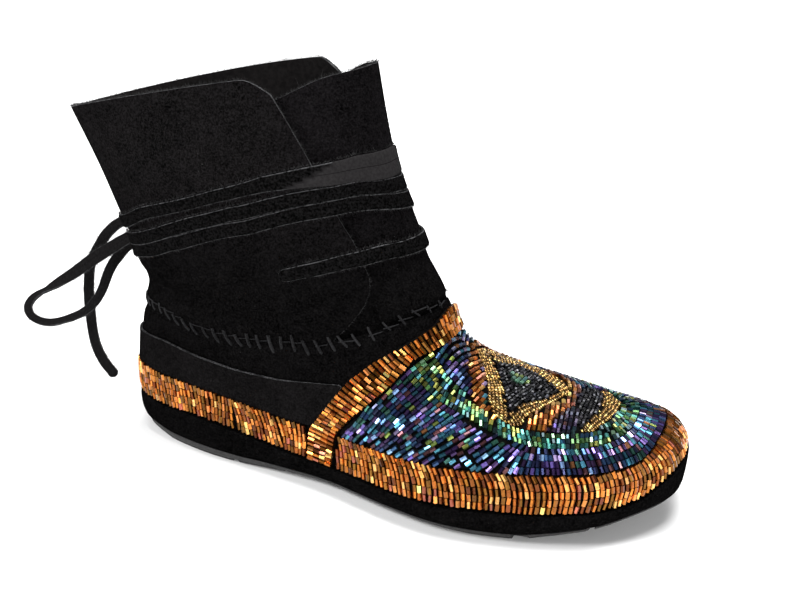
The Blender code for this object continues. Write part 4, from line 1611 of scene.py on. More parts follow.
@dataclass
class Upper(Part):
    """Lower boot and shaft flaps in one wall, the front panel behind them and the heel foxing."""

    wall: float = 2.0
    columns: int = 240
    flap_rows: int = 84
    panel_wall: float = 1.6
    panel_foot: float = 9.4
    panel_tuck: float = 0.5
    foxing_thick: float = 1.2
    foxing_reach: float = 0.66
    above_rand: float = 2.08

    def build(self) -> None:
        """Make and hand over the pieces."""
        for node, net, faces, bevel, slot in (
                ("upper", self._upper(), ("suede", "edge", "lining"), 0.45, "upper_suede"),
                ("front_panel", self._panel(), ("panel", "edge", "suede"), 0.4, "panel_suede"),
                ("heel_foxing", self._foxing(), ("foxing", "edge", "foxing"), 0.3, "foxing_suede")):
            name = f"suede_{node}"
            thing = piece(name, net.mesh(name), [self.finishes[face] for face in faces])
            hand_over(rounded(thing, bevel), node, slot=slot)

    def _upper(self) -> Net:
        """Build the lower boot and the flaps.

        Returns:
            The closed wall.
        """
        u = -1 + 2 * np.arange(self.columns) / self.columns
        rows = np.concatenate([np.arange(0, 9.39, 0.2), np.arange(9.4, WHIP_ROW + 0.01, 0.06)])
        sheet, inner = Net(), [self.last.skin(row, u, -self.wall) for row in rows]
        seam = sheet.rows([self.last.skin(row, u) for row in rows], closed=True)[-1]
        root = FLAP_EDGE[0][1]
        kept = np.flatnonzero(np.abs(u) <= root + 1e-6)
        below = [seam[i] for i in kept]
        for share in np.linspace(0, 1, self.flap_rows + 1)[1:]:
            row, reach = flap_grid(share, u[kept] / root)
            current = range(sheet.add(self.last.skin(row, reach)), sheet.count)
            inner.append(self.last.skin(row, reach, -self.wall))
            sheet.strip(below, current)
            below = current
        wall = walled(sheet, np.concatenate(inner), 1, 2)
        for k, corners in enumerate(wall.faces):
            if wall.slots[k] == 1 and {corner % sheet.count for corner in corners} <= set(seam):
                wall.slots[k] = 0
        return wall

    def _panel(self) -> Net:
        """Build the tongue-like front panel, its foot and sides tucked inside the upper.

        Returns:
            The closed wall.
        """
        u = np.linspace(-2 + self.panel_tuck, -self.panel_tuck, 121)
        v = self.panel_foot + np.linspace(0, 1, 85)[:, None] * (panel_top(u)[None, :] - self.panel_foot)
        out = -panel_depth(v, u)
        return layer(self.last, v, u, out, out - self.panel_wall, 1, 2)

    def _foxing(self) -> Net:
        """Build the heel foxing, from the bead rand up to its seam and forward to the throat band.

        Returns:
            The closed wall.
        """
        band = SideLine(self.last, tuple((x - 0.3, z) for x, z in BAND_BACK))
        seam = SideLine(self.last, FOXING_TOP, upright=False)
        half = np.linspace(0, self.foxing_reach, 120)
        bottom = np.maximum(band.rows(-half), self.above_rand + rand_climb(half))
        top = seam.rows(-half)
        end = int(np.argmax(bottom > top - 0.12)) or len(half)
        half, low, high = half[:end], bottom[:end], top[:end]
        u = np.concatenate([-half[::-1], half[1:]])
        low, high = (np.concatenate([side[::-1], side[1:]]) for side in (low, high))
        v = low + np.linspace(0, 1, 29)[:, None] * (high - low)
        return layer(self.last, v, u, CLEARANCE + self.foxing_thick, CLEARANCE, 1, 2)


# ---- beads
class BeadKind(NamedTuple):
    """One sort of bead: its size in millimetres, its shape, its colours, and how it varies.

    Each colour is its share in a hundred, then red, green and blue in thousandths.
    """

    width: float
    length: float
    form: Form
    palette: tuple[tuple[int, int, int, int], ...]
    fill: float = 0.93
    spread: float = 0.22
    tilt: float = 0.05


COPPER = BeadKind(1.82, 3.30, Form.CUT, (
    (25, 350, 105, 14), (20, 175, 68, 8), (17, 490, 160, 26), (14, 150, 40, 8), (12, 660, 250, 60),
    (7, 900, 500, 150), (5, 330, 95, 55)), 0.95, 0.26)
IRIS = BeadKind(1.80, 2.80, Form.CUT, (
    (20, 14, 18, 58), (17, 40, 20, 80), (15, 25, 62, 150), (12, 22, 95, 140), (8, 18, 70, 55),
    (6, 100, 38, 45), (6, 70, 260, 380), (5, 130, 90, 340), (3, 230, 300, 70), (4, 280, 470, 780),
    (2, 500, 380, 680), (2, 320, 130, 50)), 0.95)
GREEN = BeadKind(1.86, 2.55, Form.CUT, (
    (22, 24, 115, 100), (20, 45, 115, 35), (14, 18, 40, 48), (14, 140, 155, 35), (11, 60, 250, 225),
    (7, 20, 70, 150), (6, 200, 370, 220), (6, 300, 310, 60)), 0.94, 0.3, 0.10)
PLUM = BeadKind(1.75, 2.60, Form.CUT, (
    (34, 26, 14, 45), (26, 10, 12, 35), (16, 65, 30, 120), (12, 15, 50, 70), (8, 90, 35, 30),
    (4, 180, 130, 450)), 0.94)
GOLD = BeadKind(1.18, 1.95, Form.TUBE, (
    (42, 300, 170, 45), (28, 170, 92, 22), (22, 520, 370, 130), (8, 80, 45, 14)), 0.96)
GUNMETAL = BeadKind(1.46, 1.50, Form.CUT, (
    (42, 16, 16, 20), (28, 32, 32, 38), (22, 7, 7, 10), (8, 110, 110, 125)), 0.94, 0.6, 0.30)
PALE = BeadKind(1.80, 2.80, Form.CUT, ((40, 190, 400, 300), (30, 320, 450, 130), (30, 120, 320, 350)), 0.92)


@dataclass
class BeadField:
    """Strings of beads laid over the last, no bead through another."""

    last: Last
    seed: int
    lift: float = 0.45
    cell: float = 3.0
    room_along: float = 0.42       # shares of two beads' lengths and widths that they keep apart
    room_across: float = 0.40
    shortest: float = 0.80         # shares of a bead's length to which a string may fit it
    longest: float = 1.12
    follow: float = 0.7            # how much of one bead's wandering the next keeps
    stray: float = 0.7             # and how much of the string's sway it adds of its own
    tip: float = 0.6               # how far a bead tips up, as a share of how far it leans
    bump: float = 0.06             # scatter of the beads' heights, in millimetres
    trims: Span = (0.93, 1.0)      # shares of their lengths, widths and tints that beads have
    widths: Span = (0.93, 1.05)
    tints: Span = (0.93, 1.07)
    marks: list[Mark] = field(default_factory=list)
    homes: dict[tuple[int, ...], list[int]] = field(default_factory=dict)
    rng: np.random.Generator = field(init=False)

    def __post_init__(self) -> None:
        """Seed the field's own random numbers."""
        self.rng = np.random.default_rng(self.seed)

    def _free(self, place: Array, along: Array, width: float, length: float) -> bool:
        """Test whether a bead would lie clear of those already sewn.

        Args:
            place: the bead's middle.
            along: its direction.
            width: its width.
            length: its length.

        Returns:
            Whether it lies clear.
        """
        home = (place // self.cell).astype(int)
        for step in product((-1, 0, 1), repeat=3):
            for k in self.homes.get(tuple(home + step), ()):
                other = self.marks[k]
                gap = place - other.place
                lengthways = abs(gap @ along)
                across = math.sqrt(max(gap @ gap - lengthways ** 2, 0))
                if (lengthways < self.room_along * (length + other.size[2])
                        and across < self.room_across * (width + other.size[0])):
                    return False
        return True

    def string(self, v: Array, u: Array, kind: BeadKind, scale: float = 1.0, sway: float = 0.10,
               keep: Keep | None = None) -> None:
        """Sew one string of beads along a line of level rows and reaches.

        Args:
            v: level rows along the string.
            u: reaches along the string.
            kind: the bead.
            scale: width of the beads as a share of the kind's own.
            sway: how far beads wander sideways, in millimetres.
            keep: whether a bead centred at a level row and reach is wanted.
        """
        spots = read(np.linspace(0, 1, 48), np.linspace(0, 1, len(v)), np.stack([v, u], axis=1))
        width = kind.width * scale
        line = self.last.skin(*spots.T, self.lift + width / 2)
        steps = lengths(line)
        count = int(round(steps[-1] / kind.length))
        if count < 1:
            return
        length = min(max(steps[-1] / count, self.shortest * kind.length), self.longest * kind.length)
        start = (steps[-1] - count * length) / 2
        normals = self.last.normal(*spots.T)
        weights = np.array(column(kind.palette, 0)) / 100
        wander = self.rng.normal(0, sway)
        for k in range(count):
            first, end = read(start + length * np.array([k, k + 1]), steps, line)
            middle = start + length * (k + 0.5)
            out = read(middle, steps, normals)
            along = unit(end - first)
            side = unit(np.cross(along, out))
            wander = self.follow * wander + self.rng.normal(0, sway * self.stray)
            lean = self.rng.normal(0, kind.tilt)
            rise = self.rng.normal(0, kind.tilt * self.tip)
            trim = self.rng.uniform(*self.trims)
            place = (first + end) / 2 + side * wander + out * self.rng.normal(0, self.bump)
            along = unit(along + side * lean + out * rise)
            colour = np.array(kind.palette[self.rng.choice(len(weights), p=weights)][1:]) / 1000
            colour = colour * math.exp(self.rng.normal(0, kind.spread)) * self.rng.uniform(*self.tints, 3)
            if keep and not keep(*read(middle, steps, spots)):
                continue
            if not self._free(place, along, width, length):
                continue
            home = tuple((place // self.cell).astype(int))
            self.homes.setdefault(home, []).append(len(self.marks))
            bead = width * self.rng.uniform(*self.widths)
            self.marks.append(Mark(place, along, out, (bead, bead, length * trim * kind.fill),
                                   tuple(np.clip(colour, 0, 1)), kind.form.value))


@dataclass
class Beadwork(Part):
    """What the beaded pieces share: the tree, and a felt backing."""

    tree: BeadTree = field(default_factory=BeadTree)
    felt_thick: float = 0.45

    def finish(self, name: str, beads: BeadField, grid: tuple[Array, Array], glass: str, node: str,
               slot: str) -> None:
        """Lay a closed felt, grow the beads on it and hand the piece over.

        Args:
            name: the piece's name.
            beads: the beads.
            grid: level rows and reaches of the felt, its rows going up.
            glass: the beads' finish.
            node: the solid that the piece stands for.
            slot: handed on to hand_over, which does not use it.
        """
        felt = layer(self.last, *grid, CLEARANCE + self.felt_thick, CLEARANCE * 0.4)
        thing = seeded(name, beads.marks, [self.finishes["felt"], self.finishes[glass]], felt)
        self.tree.grow(thing, Seed=beads.seed, Glass=self.finishes[glass])
        LOG.info("%s: %d beads", name, len(beads.marks))
        hand_over(thing, node, slot=slot)


# How far the foot of a rand string leans towards the toe, in millimetres, by reach.
LEANS = ((-1.0, 0.0), (-0.90, 0.6), (-0.80, -0.5), (-0.70, 0.5), (-0.62, 0.9), (-0.52, 1.6), (-0.45, 0.6),
         (-0.38, -0.8), (-0.33, 1.8), (-0.27, 1.6), (-0.235, -0.6), (-0.19, 0.5), (-0.12, 0.9), (0.0, 0.0),
         (0.12, -0.8), (0.2, 0.6), (0.3, -1.2), (0.38, 0.8), (0.5, -1.3), (0.64, 0.7), (0.8, -0.6),
         (1.0, 0.0))
# Where strings part and the backing shows: reach, half gap in millimetres, level row.
PARTINGS = ((-0.252, 0.75, 0.75), (-0.205, 0.4, 1.2), (-0.335, 0.45, 0.9), (-0.56, 0.35, 1.0),
            (0.28, 0.6, 0.9))
HALF_ROUND = 300.0        # millimetres along a rand to a reach of one


@dataclass
class BeadRands(Beadwork):
    """The copper bead rand round the heel and both sides, and the one round the toe."""

    pitch: float = 2.26
    bottom_row: float = 0.12
    top_row: float = 2.02
    seam_gap: float = 0.9
    parting_spread: float = 5.0    # millimetres along the rand over which a parting closes
    parting_rows: float = 0.6      # and level rows up and down
    foot_scatter: Span = (-0.04, 0.06)
    top_scatter: Span = (-0.08, 0.07)
    sway: float = 0.07
    whole_rows: Span = (0.4, 1.8)  # level rows between which the felt behind the beads is whole

    def build(self) -> None:
        """Make and hand over both rands."""
        back, front = (SideLine(self.last, outline) for outline in (BAND_BACK, BAND_FRONT))
        self._rand("rear", 11, (-0.47, 0.47), lambda v, u: back.ahead(v, u) < -self.seam_gap)
        self._rand("front", 12, (-1.62, -0.38), lambda v, u: front.ahead(v, u) > self.seam_gap)

    def _rand(self, end: str, seed: int, reaches: Span, keep: Keep) -> None:
        """Make and hand over one rand, whose strings stand up side by side.

        Args:
            end: which end of the boot it goes round.
            seed: its random seed.
            reaches: the reaches between which strings are tried.
            keep: where beads are wanted.
        """
        beads = BeadField(self.last, seed)
        v = np.linspace(self.bottom_row, self.top_row, 15)
        u = np.linspace(*reaches, 800)
        along = lengths(self.last.skin(1.0, u))
        count = int(along[-1] / self.pitch)
        for reach in np.interp((np.arange(count) + 0.5) * along[-1] / count, along, u):
            wrapped = (reach + 1) % 2 - 1
            slant = float(np.interp(wrapped, *zip(*LEANS))) * (1 - v) * (1 if wrapped > 0 else -1)
            shift = np.zeros_like(v)
            for where, gap, row in PARTINGS:
                away = (wrapped - where) * HALF_ROUND
                shift += (gap * math.copysign(1, away) * math.exp(-(away / self.parting_spread) ** 2)
                          * np.exp(-((v - row) / self.parting_rows) ** 2))
            top = self.top_row + beads.rng.uniform(*self.top_scatter)
            rows = np.linspace(self.bottom_row + beads.rng.uniform(*self.foot_scatter), top, len(v))
            beads.string(rows + rand_climb(reach), reach + (slant + shift) / HALF_ROUND, COPPER, keep=keep,
                         sway=self.sway)
        whole = [u for u in np.linspace(*reaches, 300) if all(keep(row, u) for row in self.whole_rows)]
        grid_v, grid_u = np.meshgrid(np.linspace(self.bottom_row, self.top_row, 12),
                                     np.linspace(whole[0], whole[-1], 160), indexing="ij")
        self.finish(f"beads_{end}_rand", beads, (grid_v + rand_climb(grid_u), grid_u), "copper",
                    f"{end}_bead_rand", "rand_beads")


@dataclass
class ThroatBand(Beadwork):
    """The copper band over the instep: short strings laid across it, side by side."""

    pitch: float = 2.15
    edge_gap: float = 0.35
    foot_row: float = 0.14
    stations: int = 90
    lift: float = 0.7
    sway: float = 0.08
    scatter: float = 0.05
    scatter_reach: float = 0.002
    seed: int = 21

    def build(self) -> None:
        """Make and hand over the band."""
        beads = BeadField(self.last, self.seed, lift=self.lift)
        back, front = self._edge(BAND_BACK, self.edge_gap), self._edge(BAND_FRONT, -self.edge_gap)
        along = lengths(self.last.skin(*((back + front) / 2).T))
        count = int(along[-1] / self.pitch)
        for side in (-1, 1):
            for number in range(count if side < 0 else count - 1):
                share = number / (count - 1) * along[-1]
                ends = np.stack([read(share, along, back), read(share, along, front)])
                rows, reaches = read(np.linspace(0, 1, 6), np.array([0, 1]), ends).T
                aside = beads.rng.uniform(-self.scatter, self.scatter) * self.scatter_reach
                beads.string(rows, reaches * -side + aside, COPPER, sway=self.sway)
        grid = back + (front - back) * np.linspace(1, 0, 8)[:, None, None]
        v, u = grid[..., 0], grid[..., 1]
        v = np.concatenate([v, v[:, -2::-1]], axis=1)[:, ::-1]
        u = np.concatenate([u, -2 - u[:, -2::-1]], axis=1)[:, ::-1]
        self.finish("beads_throat_band", beads, (v, u), "copper", "throat_bead_band", "throat_beads")

    def _edge(self, outline: Pairs, inward: float) -> Array:
        """One edge of the band on the lateral side, from its foot to the middle of the instep.

        Args:
            outline: the edge as seen from the side.
            inward: millimetres by which it is moved forward.

        Returns:
            Level rows and reaches, evenly spaced.
        """
        line = SideLine(self.last, tuple((x + inward, z) for x, z in outline))
        u = np.linspace(-0.3, -1.0, 1400)
        v = line.rows(u)
        v, u = v[v > self.foot_row], u[v > self.foot_row]
        v, u = np.insert(v, 0, self.foot_row), np.insert(u, 0, u[0])
        along = lengths(self.last.skin(v, u))
        return read(np.linspace(0, along[-1], self.stations), along, np.stack([v, u], axis=1))


# ---- vamp
class Zone(NamedTuple):
    """A filled area of the vamp's pattern in plan: x, and distance outwards from the middle."""

    kind: BeadKind
    outline: Pairs
    heading: tuple[float, float]
    pitch: float


ZONES = (
    Zone(PALE, ((181, -2.5), (184.5, -3.5), (188.5, -3.4), (191.1, 1.8), (187.2, 3.5), (183.6, 4.2)),
         (0.12, -0.99), 1.95),
    Zone(GUNMETAL, ((172.7, -5.4), (177.2, 2.4), (183.2, 14.3), (187.9, 26.7), (189.2, 24.1), (191.4, 19),
                    (198.1, 11), (202.9, 0), (197.4, -6.5), (190.5, -11), (182.6, -12)), (0.25, -0.97), 1.5),
    Zone(GOLD, ((164.3, -5.2), (169.5, 2.4), (174.7, 12), (178.9, 23.5), (183.8, 30.3), (189.7, 33.2),
                (188.2, 27), (183.2, 14.3), (177.2, 2.4), (172.7, -5.4), (170, -9), (166.5, -12)),
         (0.93, 0.36), 1.28),
    Zone(GOLD, ((188.2, 27), (189.7, 33.2), (194.9, 31.6), (195.4, 26.2), (199.6, 18.1), (203.2, 9.3),
                (206.8, -2), (206, -6), (202.9, 0), (198.1, 11), (191.4, 19), (189.2, 24.1)),
         (0.70, 0.71), 1.28),
    Zone(GOLD, ((166.5, -12), (170, -9), (172.7, -5.4), (182.6, -12), (190.5, -11), (197.4, -6.5),
                (202.9, 0), (206, -6), (202.3, -11), (194.9, -18), (184.5, -21), (174.2, -20)),
         (0.93, 0.36), 1.28),
    Zone(COPPER, ((162.2, -2.2), (165.9, 11.2), (169.2, 16.6), (172.8, 26.4), (177.6, 29.5), (183.6, 32.5),
                  (183.8, 30.3), (178.9, 23.5), (174.7, 12), (169.5, 2.4), (164.3, -5.2)),
         (0.25, -0.97), 2.0),
    Zone(COPPER, ((162.2, -2.2), (164.3, -5.2), (166.5, -12), (174.2, -20), (184.5, -21), (184, -28),
                  (172, -26), (162, -14)), (0.25, -0.97), 2.0),
    Zone(COPPER, ((194.9, 31.6), (197.4, 33), (204.5, 31), (206.3, 22.9), (208, 14.2), (211, 8.8),
                  (210.5, -1), (210.5, -10), (205.2, -15), (200, -19), (196.6, -22), (194.9, -18),
                  (202.3, -11), (206, -6), (206.8, -2), (203.2, 9.3), (199.6, 18.1), (195.4, 26.2)),
         (-0.15, -0.98), 2.0),
    Zone(PLUM, ((204.5, 31), (210.4, 30), (213.8, 29), (215.6, 22.1), (213, 12.7), (211.4, 0), (212.2, -12),
                (210.5, -12), (210.5, -1), (211, 8.8), (208, 14.2), (206.3, 22.9)), (-0.1, -0.98), 1.9),
    Zone(GUNMETAL, ((212.2, -12), (211.4, 0), (213, 12.7), (215.3, 22.1), (216.8, 23.5), (218.5, 16),
                    (220, 6.1), (220.6, -4.8), (218.9, -13)), (0.0, -1.0), 1.5),
    Zone(GOLD, ((216.4, 26), (221.5, 23.5), (224.8, 14.3), (227.5, 4.2), (228, -7), (223.3, -14),
                (218.9, -13), (220.6, -4.8), (220, 6.1), (218.5, 16), (216.8, 23.5)), (0.70, 0.71), 1.28),
)
# Strings of the green ring and of the dark field: level row and reach of one end, and of the other.
RING = (
    (8.85, -0.832, 9.15, -0.898), (8.10, -0.820, 8.65, -0.892), (7.40, -0.809, 8.05, -0.880),
    (6.50, -0.800, 7.30, -0.868), (5.85, -0.790, 6.70, -0.860), (5.25, -0.786, 6.05, -0.845),
    (4.85, -0.797, 5.75, -0.855), (4.60, -0.820, 5.45, -0.875), (4.40, -0.855, 5.20, -0.910),
    (4.40, -0.900, 5.05, -0.941), (4.40, -0.957, 4.95, -0.980), (4.40, -1.0, 4.90, -1.0),
)
FIELD = (
    (2.12, -0.449, 8.85, -0.832), (2.12, -0.508, 7.40, -0.809), (2.12, -0.580, 6.05, -0.797),
    (2.12, -0.635, 5.45, -0.790), (2.12, -0.690, 5.05, -0.790), (2.12, -0.742, 4.78, -0.802),
    (2.12, -0.785, 4.55, -0.828), (2.12, -0.828, 4.38, -0.865), (2.24, -0.878, 4.38, -0.915),
    (2.78, -0.918, 4.38, -0.945), (3.12, -0.950, 4.38, -0.965), (3.12, -1.0, 4.38, -1.0),
)
PLAN_SIGHT = np.array([[1.0, 0.0, 0.0], [0.0, 1.0, 0.0]])
SIDE_SIGHT = np.array([[0.94, 0.34, 0.0], [0.19, 0.53, 0.83]])     # down on the outer side of the vamp
CHART_STEP = 2.0          # millimetres between the chart's points


def inside(outline: Pairs, x: float, w: float) -> bool:
    """Test whether a point lies inside a closed outline.

    Args:
        outline: the outline.
        x: the point's x.
        w: its distance outwards from the middle.

    Returns:
        Whether it lies inside.
    """
    within = False
    for (x0, w0), (x1, w1) in zip(outline, (*outline[1:], outline[0])):
        if (w0 > w) != (w1 > w) and x < x0 + (w - w0) / (w1 - w0) * (x1 - x0):
            within = not within
    return within


@dataclass
class VampBeadwork(Beadwork):
    """The beaded vamp: nested zones in a ring, in a field of dark iridescent strings."""

    bottom_row: float = 2.12
    medial_scale: float = 0.88
    lane_pitch: float = 2.10
    fill_pitch: float = 1.9
    throat_gap: float = 0.8
    fine_step: float = 0.3
    edge_share: float = 0.4        # share of a pitch from a zone's edge to its first string
    least_run: float = 0.55        # share of a bead's length that a string must have
    plan_start: float = 140.0
    plan_end: float = 256.1
    plan_wide: float = 50.1
    middle: Array = field(init=False)
    chart: Array = field(init=False)

    def build(self) -> None:
        """Make and hand over the vamp's beadwork."""
        beads = BeadField(self.last, 31, lift=0.5)
        throat = SideLine(self.last, BAND_FRONT)
        rows = np.arange(2.0, 10.01, 0.1)
        self.middle = self.last.skin(rows, np.full(len(rows), -1.0))[::-1]
        self.chart = self._survey()
        edge = [self._plan(*lane[2:]) for lane in RING]
        fill = Zone(IRIS, (*edge, (146.0, 0.0)), (0.22, -0.975), self.fill_pitch)

        def clear(v: float, u: float) -> bool:
            """Whether a bead lies in front of the throat band."""
            return bool(throat.ahead(v, u) > self.throat_gap)

        for zone in ZONES:
            self._zone(beads, zone, 1, 1.0, clear)
        for side, scale in ((1, 1.0), (-1, self.medial_scale)):
            self._lanes(beads, RING, GREEN, side * scale, clear)
            self._zone(beads, fill, side, scale, clear)
            self._lanes(beads, FIELD, IRIS, side * scale, clear)
        self.finish("beads_vamp", beads, self._felt(throat), "iris", "vamp_beadwork", "vamp_beads")

    def _survey(self) -> Array:
        """Find a grid of plan points on the lateral side.

        Returns:
            Their level rows and reaches.
        """
        x, w = np.meshgrid(np.arange(self.plan_start, self.plan_end, CHART_STEP),
                           np.arange(0.0, self.plan_wide, CHART_STEP), indexing="ij")
        wanted = np.stack([x, np.interp(x, *self.middle[:, :2].T) - w], axis=-1)
        v, u = self.last.locate(wanted.reshape(-1, 2), PLAN_SIGHT, (1.0, 10.5), (-1.0, -0.4))
        return np.stack([v.reshape(x.shape), u.reshape(x.shape)], axis=-1)

    def _spots(self, x: Array, w: Array) -> tuple[Array, Array]:
        """Level rows and reaches of plan points.

        Args:
            x: the points' x.
            w: their distance outwards from the middle, above 0 on the lateral side.

        Returns:
            The level rows and the reaches.
        """
        across = np.where(w < 0, -w / self.medial_scale, w) / CHART_STEP
        v, u = between(self.chart, (x - self.plan_start) / CHART_STEP, across).T
        return v, np.where(w < 0, -2 - u, u)

    def _plan(self, v: float, u: float) -> tuple[float, float]:
        """The plan place of a level row and reach, folded to the lateral side."""
        spot = self.last.skin(v, -abs((u + 1) % 2 - 1))
        return float(spot[0]), float(np.interp(spot[0], *self.middle[:, :2].T) - spot[1])

    def _zone(self, beads: BeadField, zone: Zone, side: int, scale: float, clear: Keep) -> None:
        """Fill a zone with parallel strings.

        Args:
            beads: the field that they are sewn to.
            zone: the zone.
            side: 1 as it stands, -1 mirrored over the middle.
            scale: the beads' width as a share of the kind's own.
            clear: where beads are wanted.
        """
        heading = unit(np.array(zone.heading))
        across = np.array([-heading[1], heading[0]])
        reach, spread = (np.array(zone.outline) @ axis for axis in (heading, across))
        pitch = zone.pitch * scale ** 0.5
        steps = np.arange(reach.min(), reach.max(), self.fine_step)
        for shift in np.arange(spread.min() + self.edge_share * pitch, spread.max(), pitch):
            line = steps[:, None] * heading + shift * across
            within = np.array([inside(zone.outline, x, w) for x, w in line])
            edges = np.flatnonzero(np.diff(np.concatenate([[0], within, [0]]).astype(int)))
            for first, last in zip(edges[::2], edges[1::2]):
                if (last - first) * self.fine_step >= self.least_run * zone.kind.length:
                    v, u = self._spots(line[first:last, 0], side * line[first:last, 1])
                    beads.string(v, u, zone.kind, scale, keep=clear)

    def _lanes(self, beads: BeadField, lanes: Sequence[Sequence[float]], kind: BeadKind, scale: float,
               clear: Keep) -> None:
        """Sew strings along a table of lanes, a pitch apart at their wider end.

        Args:
            beads: the field that they are sewn to.
            lanes: RING or FIELD.
            kind: the bead.
            scale: the beads' width as a share of the kind's own, below 0 on the medial side.
            clear: where beads are wanted.
        """
        index, fine = np.arange(len(lanes)), np.linspace(0, len(lanes) - 1, 600)
        table = np.stack([smooth(index, values, fine) for values in np.array(lanes).T], axis=1)
        steps = [np.diff(lengths(self.last.skin(*ends.T))) for ends in (table[:, :2], table[:, 2:])]
        along = np.concatenate([[0], np.cumsum(np.maximum(*steps))])
        count = int(along[-1] / (self.lane_pitch * abs(scale)))
        v0, u0, v1, u1 = read((np.arange(count) + 0.5) / count * along[-1], along, table).T
        near, far = self.last.skin(v0, u0) @ SIDE_SIGHT.T, self.last.skin(v1, u1) @ SIDE_SIGHT.T
        seen = near + np.linspace(0, 1, 14)[:, None, None] * (far - near)
        v, u = self.last.locate(seen.reshape(-1, 2), SIDE_SIGHT, (1.6, 9.9), (-1.0, -0.36))
        for rows, reaches in zip(v.reshape(-1, count).T, u.reshape(-1, count).T):
            beads.string(rows, reaches * math.copysign(1, scale), kind, abs(scale), keep=clear)

    def _felt(self, throat: SideLine) -> tuple[Array, Array]:
        """Level rows and reaches of the felt under the whole vamp.

        Args:
            throat: the throat band's front edge, where the felt ends.

        Returns:
            The grid's level rows and its reaches.
        """
        half = np.linspace(-0.43, -1.0, 110)
        top = throat.rows(half) - 0.06
        kept = top > self.bottom_row + 0.2
        half, top = half[kept], top[kept]
        u = np.concatenate([(-2 - half)[:-1], half[::-1]])
        top = np.concatenate([top[:-1], top[::-1]])
        low = self.bottom_row + rand_climb(u)
        return low + np.linspace(0, 1, 40)[:, None] * (top - low), u


# ---- stitches
# The whip stitches' middles over the seam, as level rows and reaches on the lateral side.
WHIP_LINE = ((10.35, 0.0), (10.32, -0.10), (10.32, -0.20), (10.2, -0.297), (10.2, -0.40), (10.12, -0.496),
             (10.05, -0.559), (9.92, -0.617), (9.92, -0.66), (9.95, -0.70), (9.92, -0.745), (10.0, -0.797),
             (10.1, -0.848), (10.12, -0.914), (10.12, -1.0))
# How the stitches lie at a reach: their lean in degrees, length and pitch in millimetres.
WHIPS = ((0.0, 16, 4.6, 5.8), (0.27, 22, 5.4, 5.8), (0.38, 18, 7.0, 5.6), (0.48, 9, 7.6, 5.5),
         (0.53, -3, 7.6, 5.5), (0.58, 4, 7.6, 5.3), (0.63, 22, 8.2, 5.4), (0.69, 24, 7.8, 5.8),
         (0.74, 24, 6.0, 6.8), (0.80, 34, 5.2, 6.8), (1.0, 30, 4.6, 6.8))


@dataclass
class WhipStitch(Part):
    """The yarn that joins the shaft to the lower boot: slanted stitches and a thin running thread."""

    thread_rise: float = 0.10
    thread_flat: float = 0.62
    thread_share: float = 0.30
    thread_kept: float = 0.75
    yarn_share: float = 0.60
    first: float = 2.4
    lean_scatter: float = 7.0
    row_scatter: float = 0.03
    thread_ahead: float = 0.010
    thread_lean_scatter: float = 4.0
    thread_row_scatter: float = 0.02
    long: Span = (0.82, 1.12)      # shares of their lengths and pitch that stitches and thread have
    thread_long: Span = (0.75, 1.05)
    apart: Span = (0.86, 1.14)
    nudge: float = 0.1
    height: float = 0.1
    bare_outer: float = 3.0
    bare_inner: float = 16.0
    seed: int = 41

    def build(self) -> None:
        """Make and hand over the stitches of both sides."""
        rng = np.random.default_rng(self.seed)
        marks: list[Mark] = []
        u = np.linspace(0.0, 1.0, 600)
        v = smooth([-reach for _, reach in WHIP_LINE], column(WHIP_LINE, 0), u)
        whips = np.array(WHIPS)
        for side in (-1, 1):
            along = lengths(self.last.skin(v, u * side))
            where = self.first
            end = along[-1] - (self.bare_outer if side < 0 else self.bare_inner)
            while where < end:
                row, reach = read(where, along, np.stack([v, u], axis=1))
                lean, length, pitch = read(reach, whips[:, 0], whips[:, 1:])
                angle = math.radians(lean + rng.normal(0, self.lean_scatter))
                marks.append(self._stitch(row + rng.normal(0, self.row_scatter), reach * side, angle * side,
                                          length * rng.uniform(*self.long), self.yarn_share))
                if rng.random() < self.thread_kept:
                    rise = self.thread_rise if reach < self.thread_flat else 0.0
                    marks.append(self._stitch(row + rise + rng.normal(0, self.thread_row_scatter),
                                              (reach + self.thread_ahead) * side,
                                              math.radians(90 + rng.normal(0, self.thread_lean_scatter)),
                                              pitch * rng.uniform(*self.thread_long), self.thread_share))
                where += pitch * rng.uniform(*self.apart)
        sewn = seeded("whip_stitches", marks, [self.finishes["yarn"]])
        StitchTree().grow(sewn, Yarn=self.finishes["yarn"])
        hand_over(sewn)

    def _stitch(self, v: float, u: float, angle: float, length: float, weight: float) -> Mark:
        """One stitch lying on the skin.

        Args:
            v: the level row of its middle.
            u: the reach of its middle.
            angle: how far it is turned from straight up, in radians.
            length: its length.
            weight: its thickness as a share of its length.

        Returns:
            The stitch's mark.
        """
        out = self.last.normal(v, u)
        up = self.last.skin(v + self.nudge, u) - self.last.skin(v - self.nudge, u)
        up = unit(up - out * (up @ out))
        along = up * math.cos(angle) + np.cross(up, out) * math.sin(angle)
        return Mark(self.last.skin(v, u, self.height), along, out,
                    (length * weight, length * weight, length))


# ---- fuzz
class Fringe(NamedTuple):
    """A run of fuzz: fibres to the millimetre, their mean length, and how far in from the face they grow."""

    per_mm: float
    length: float
    deep: float


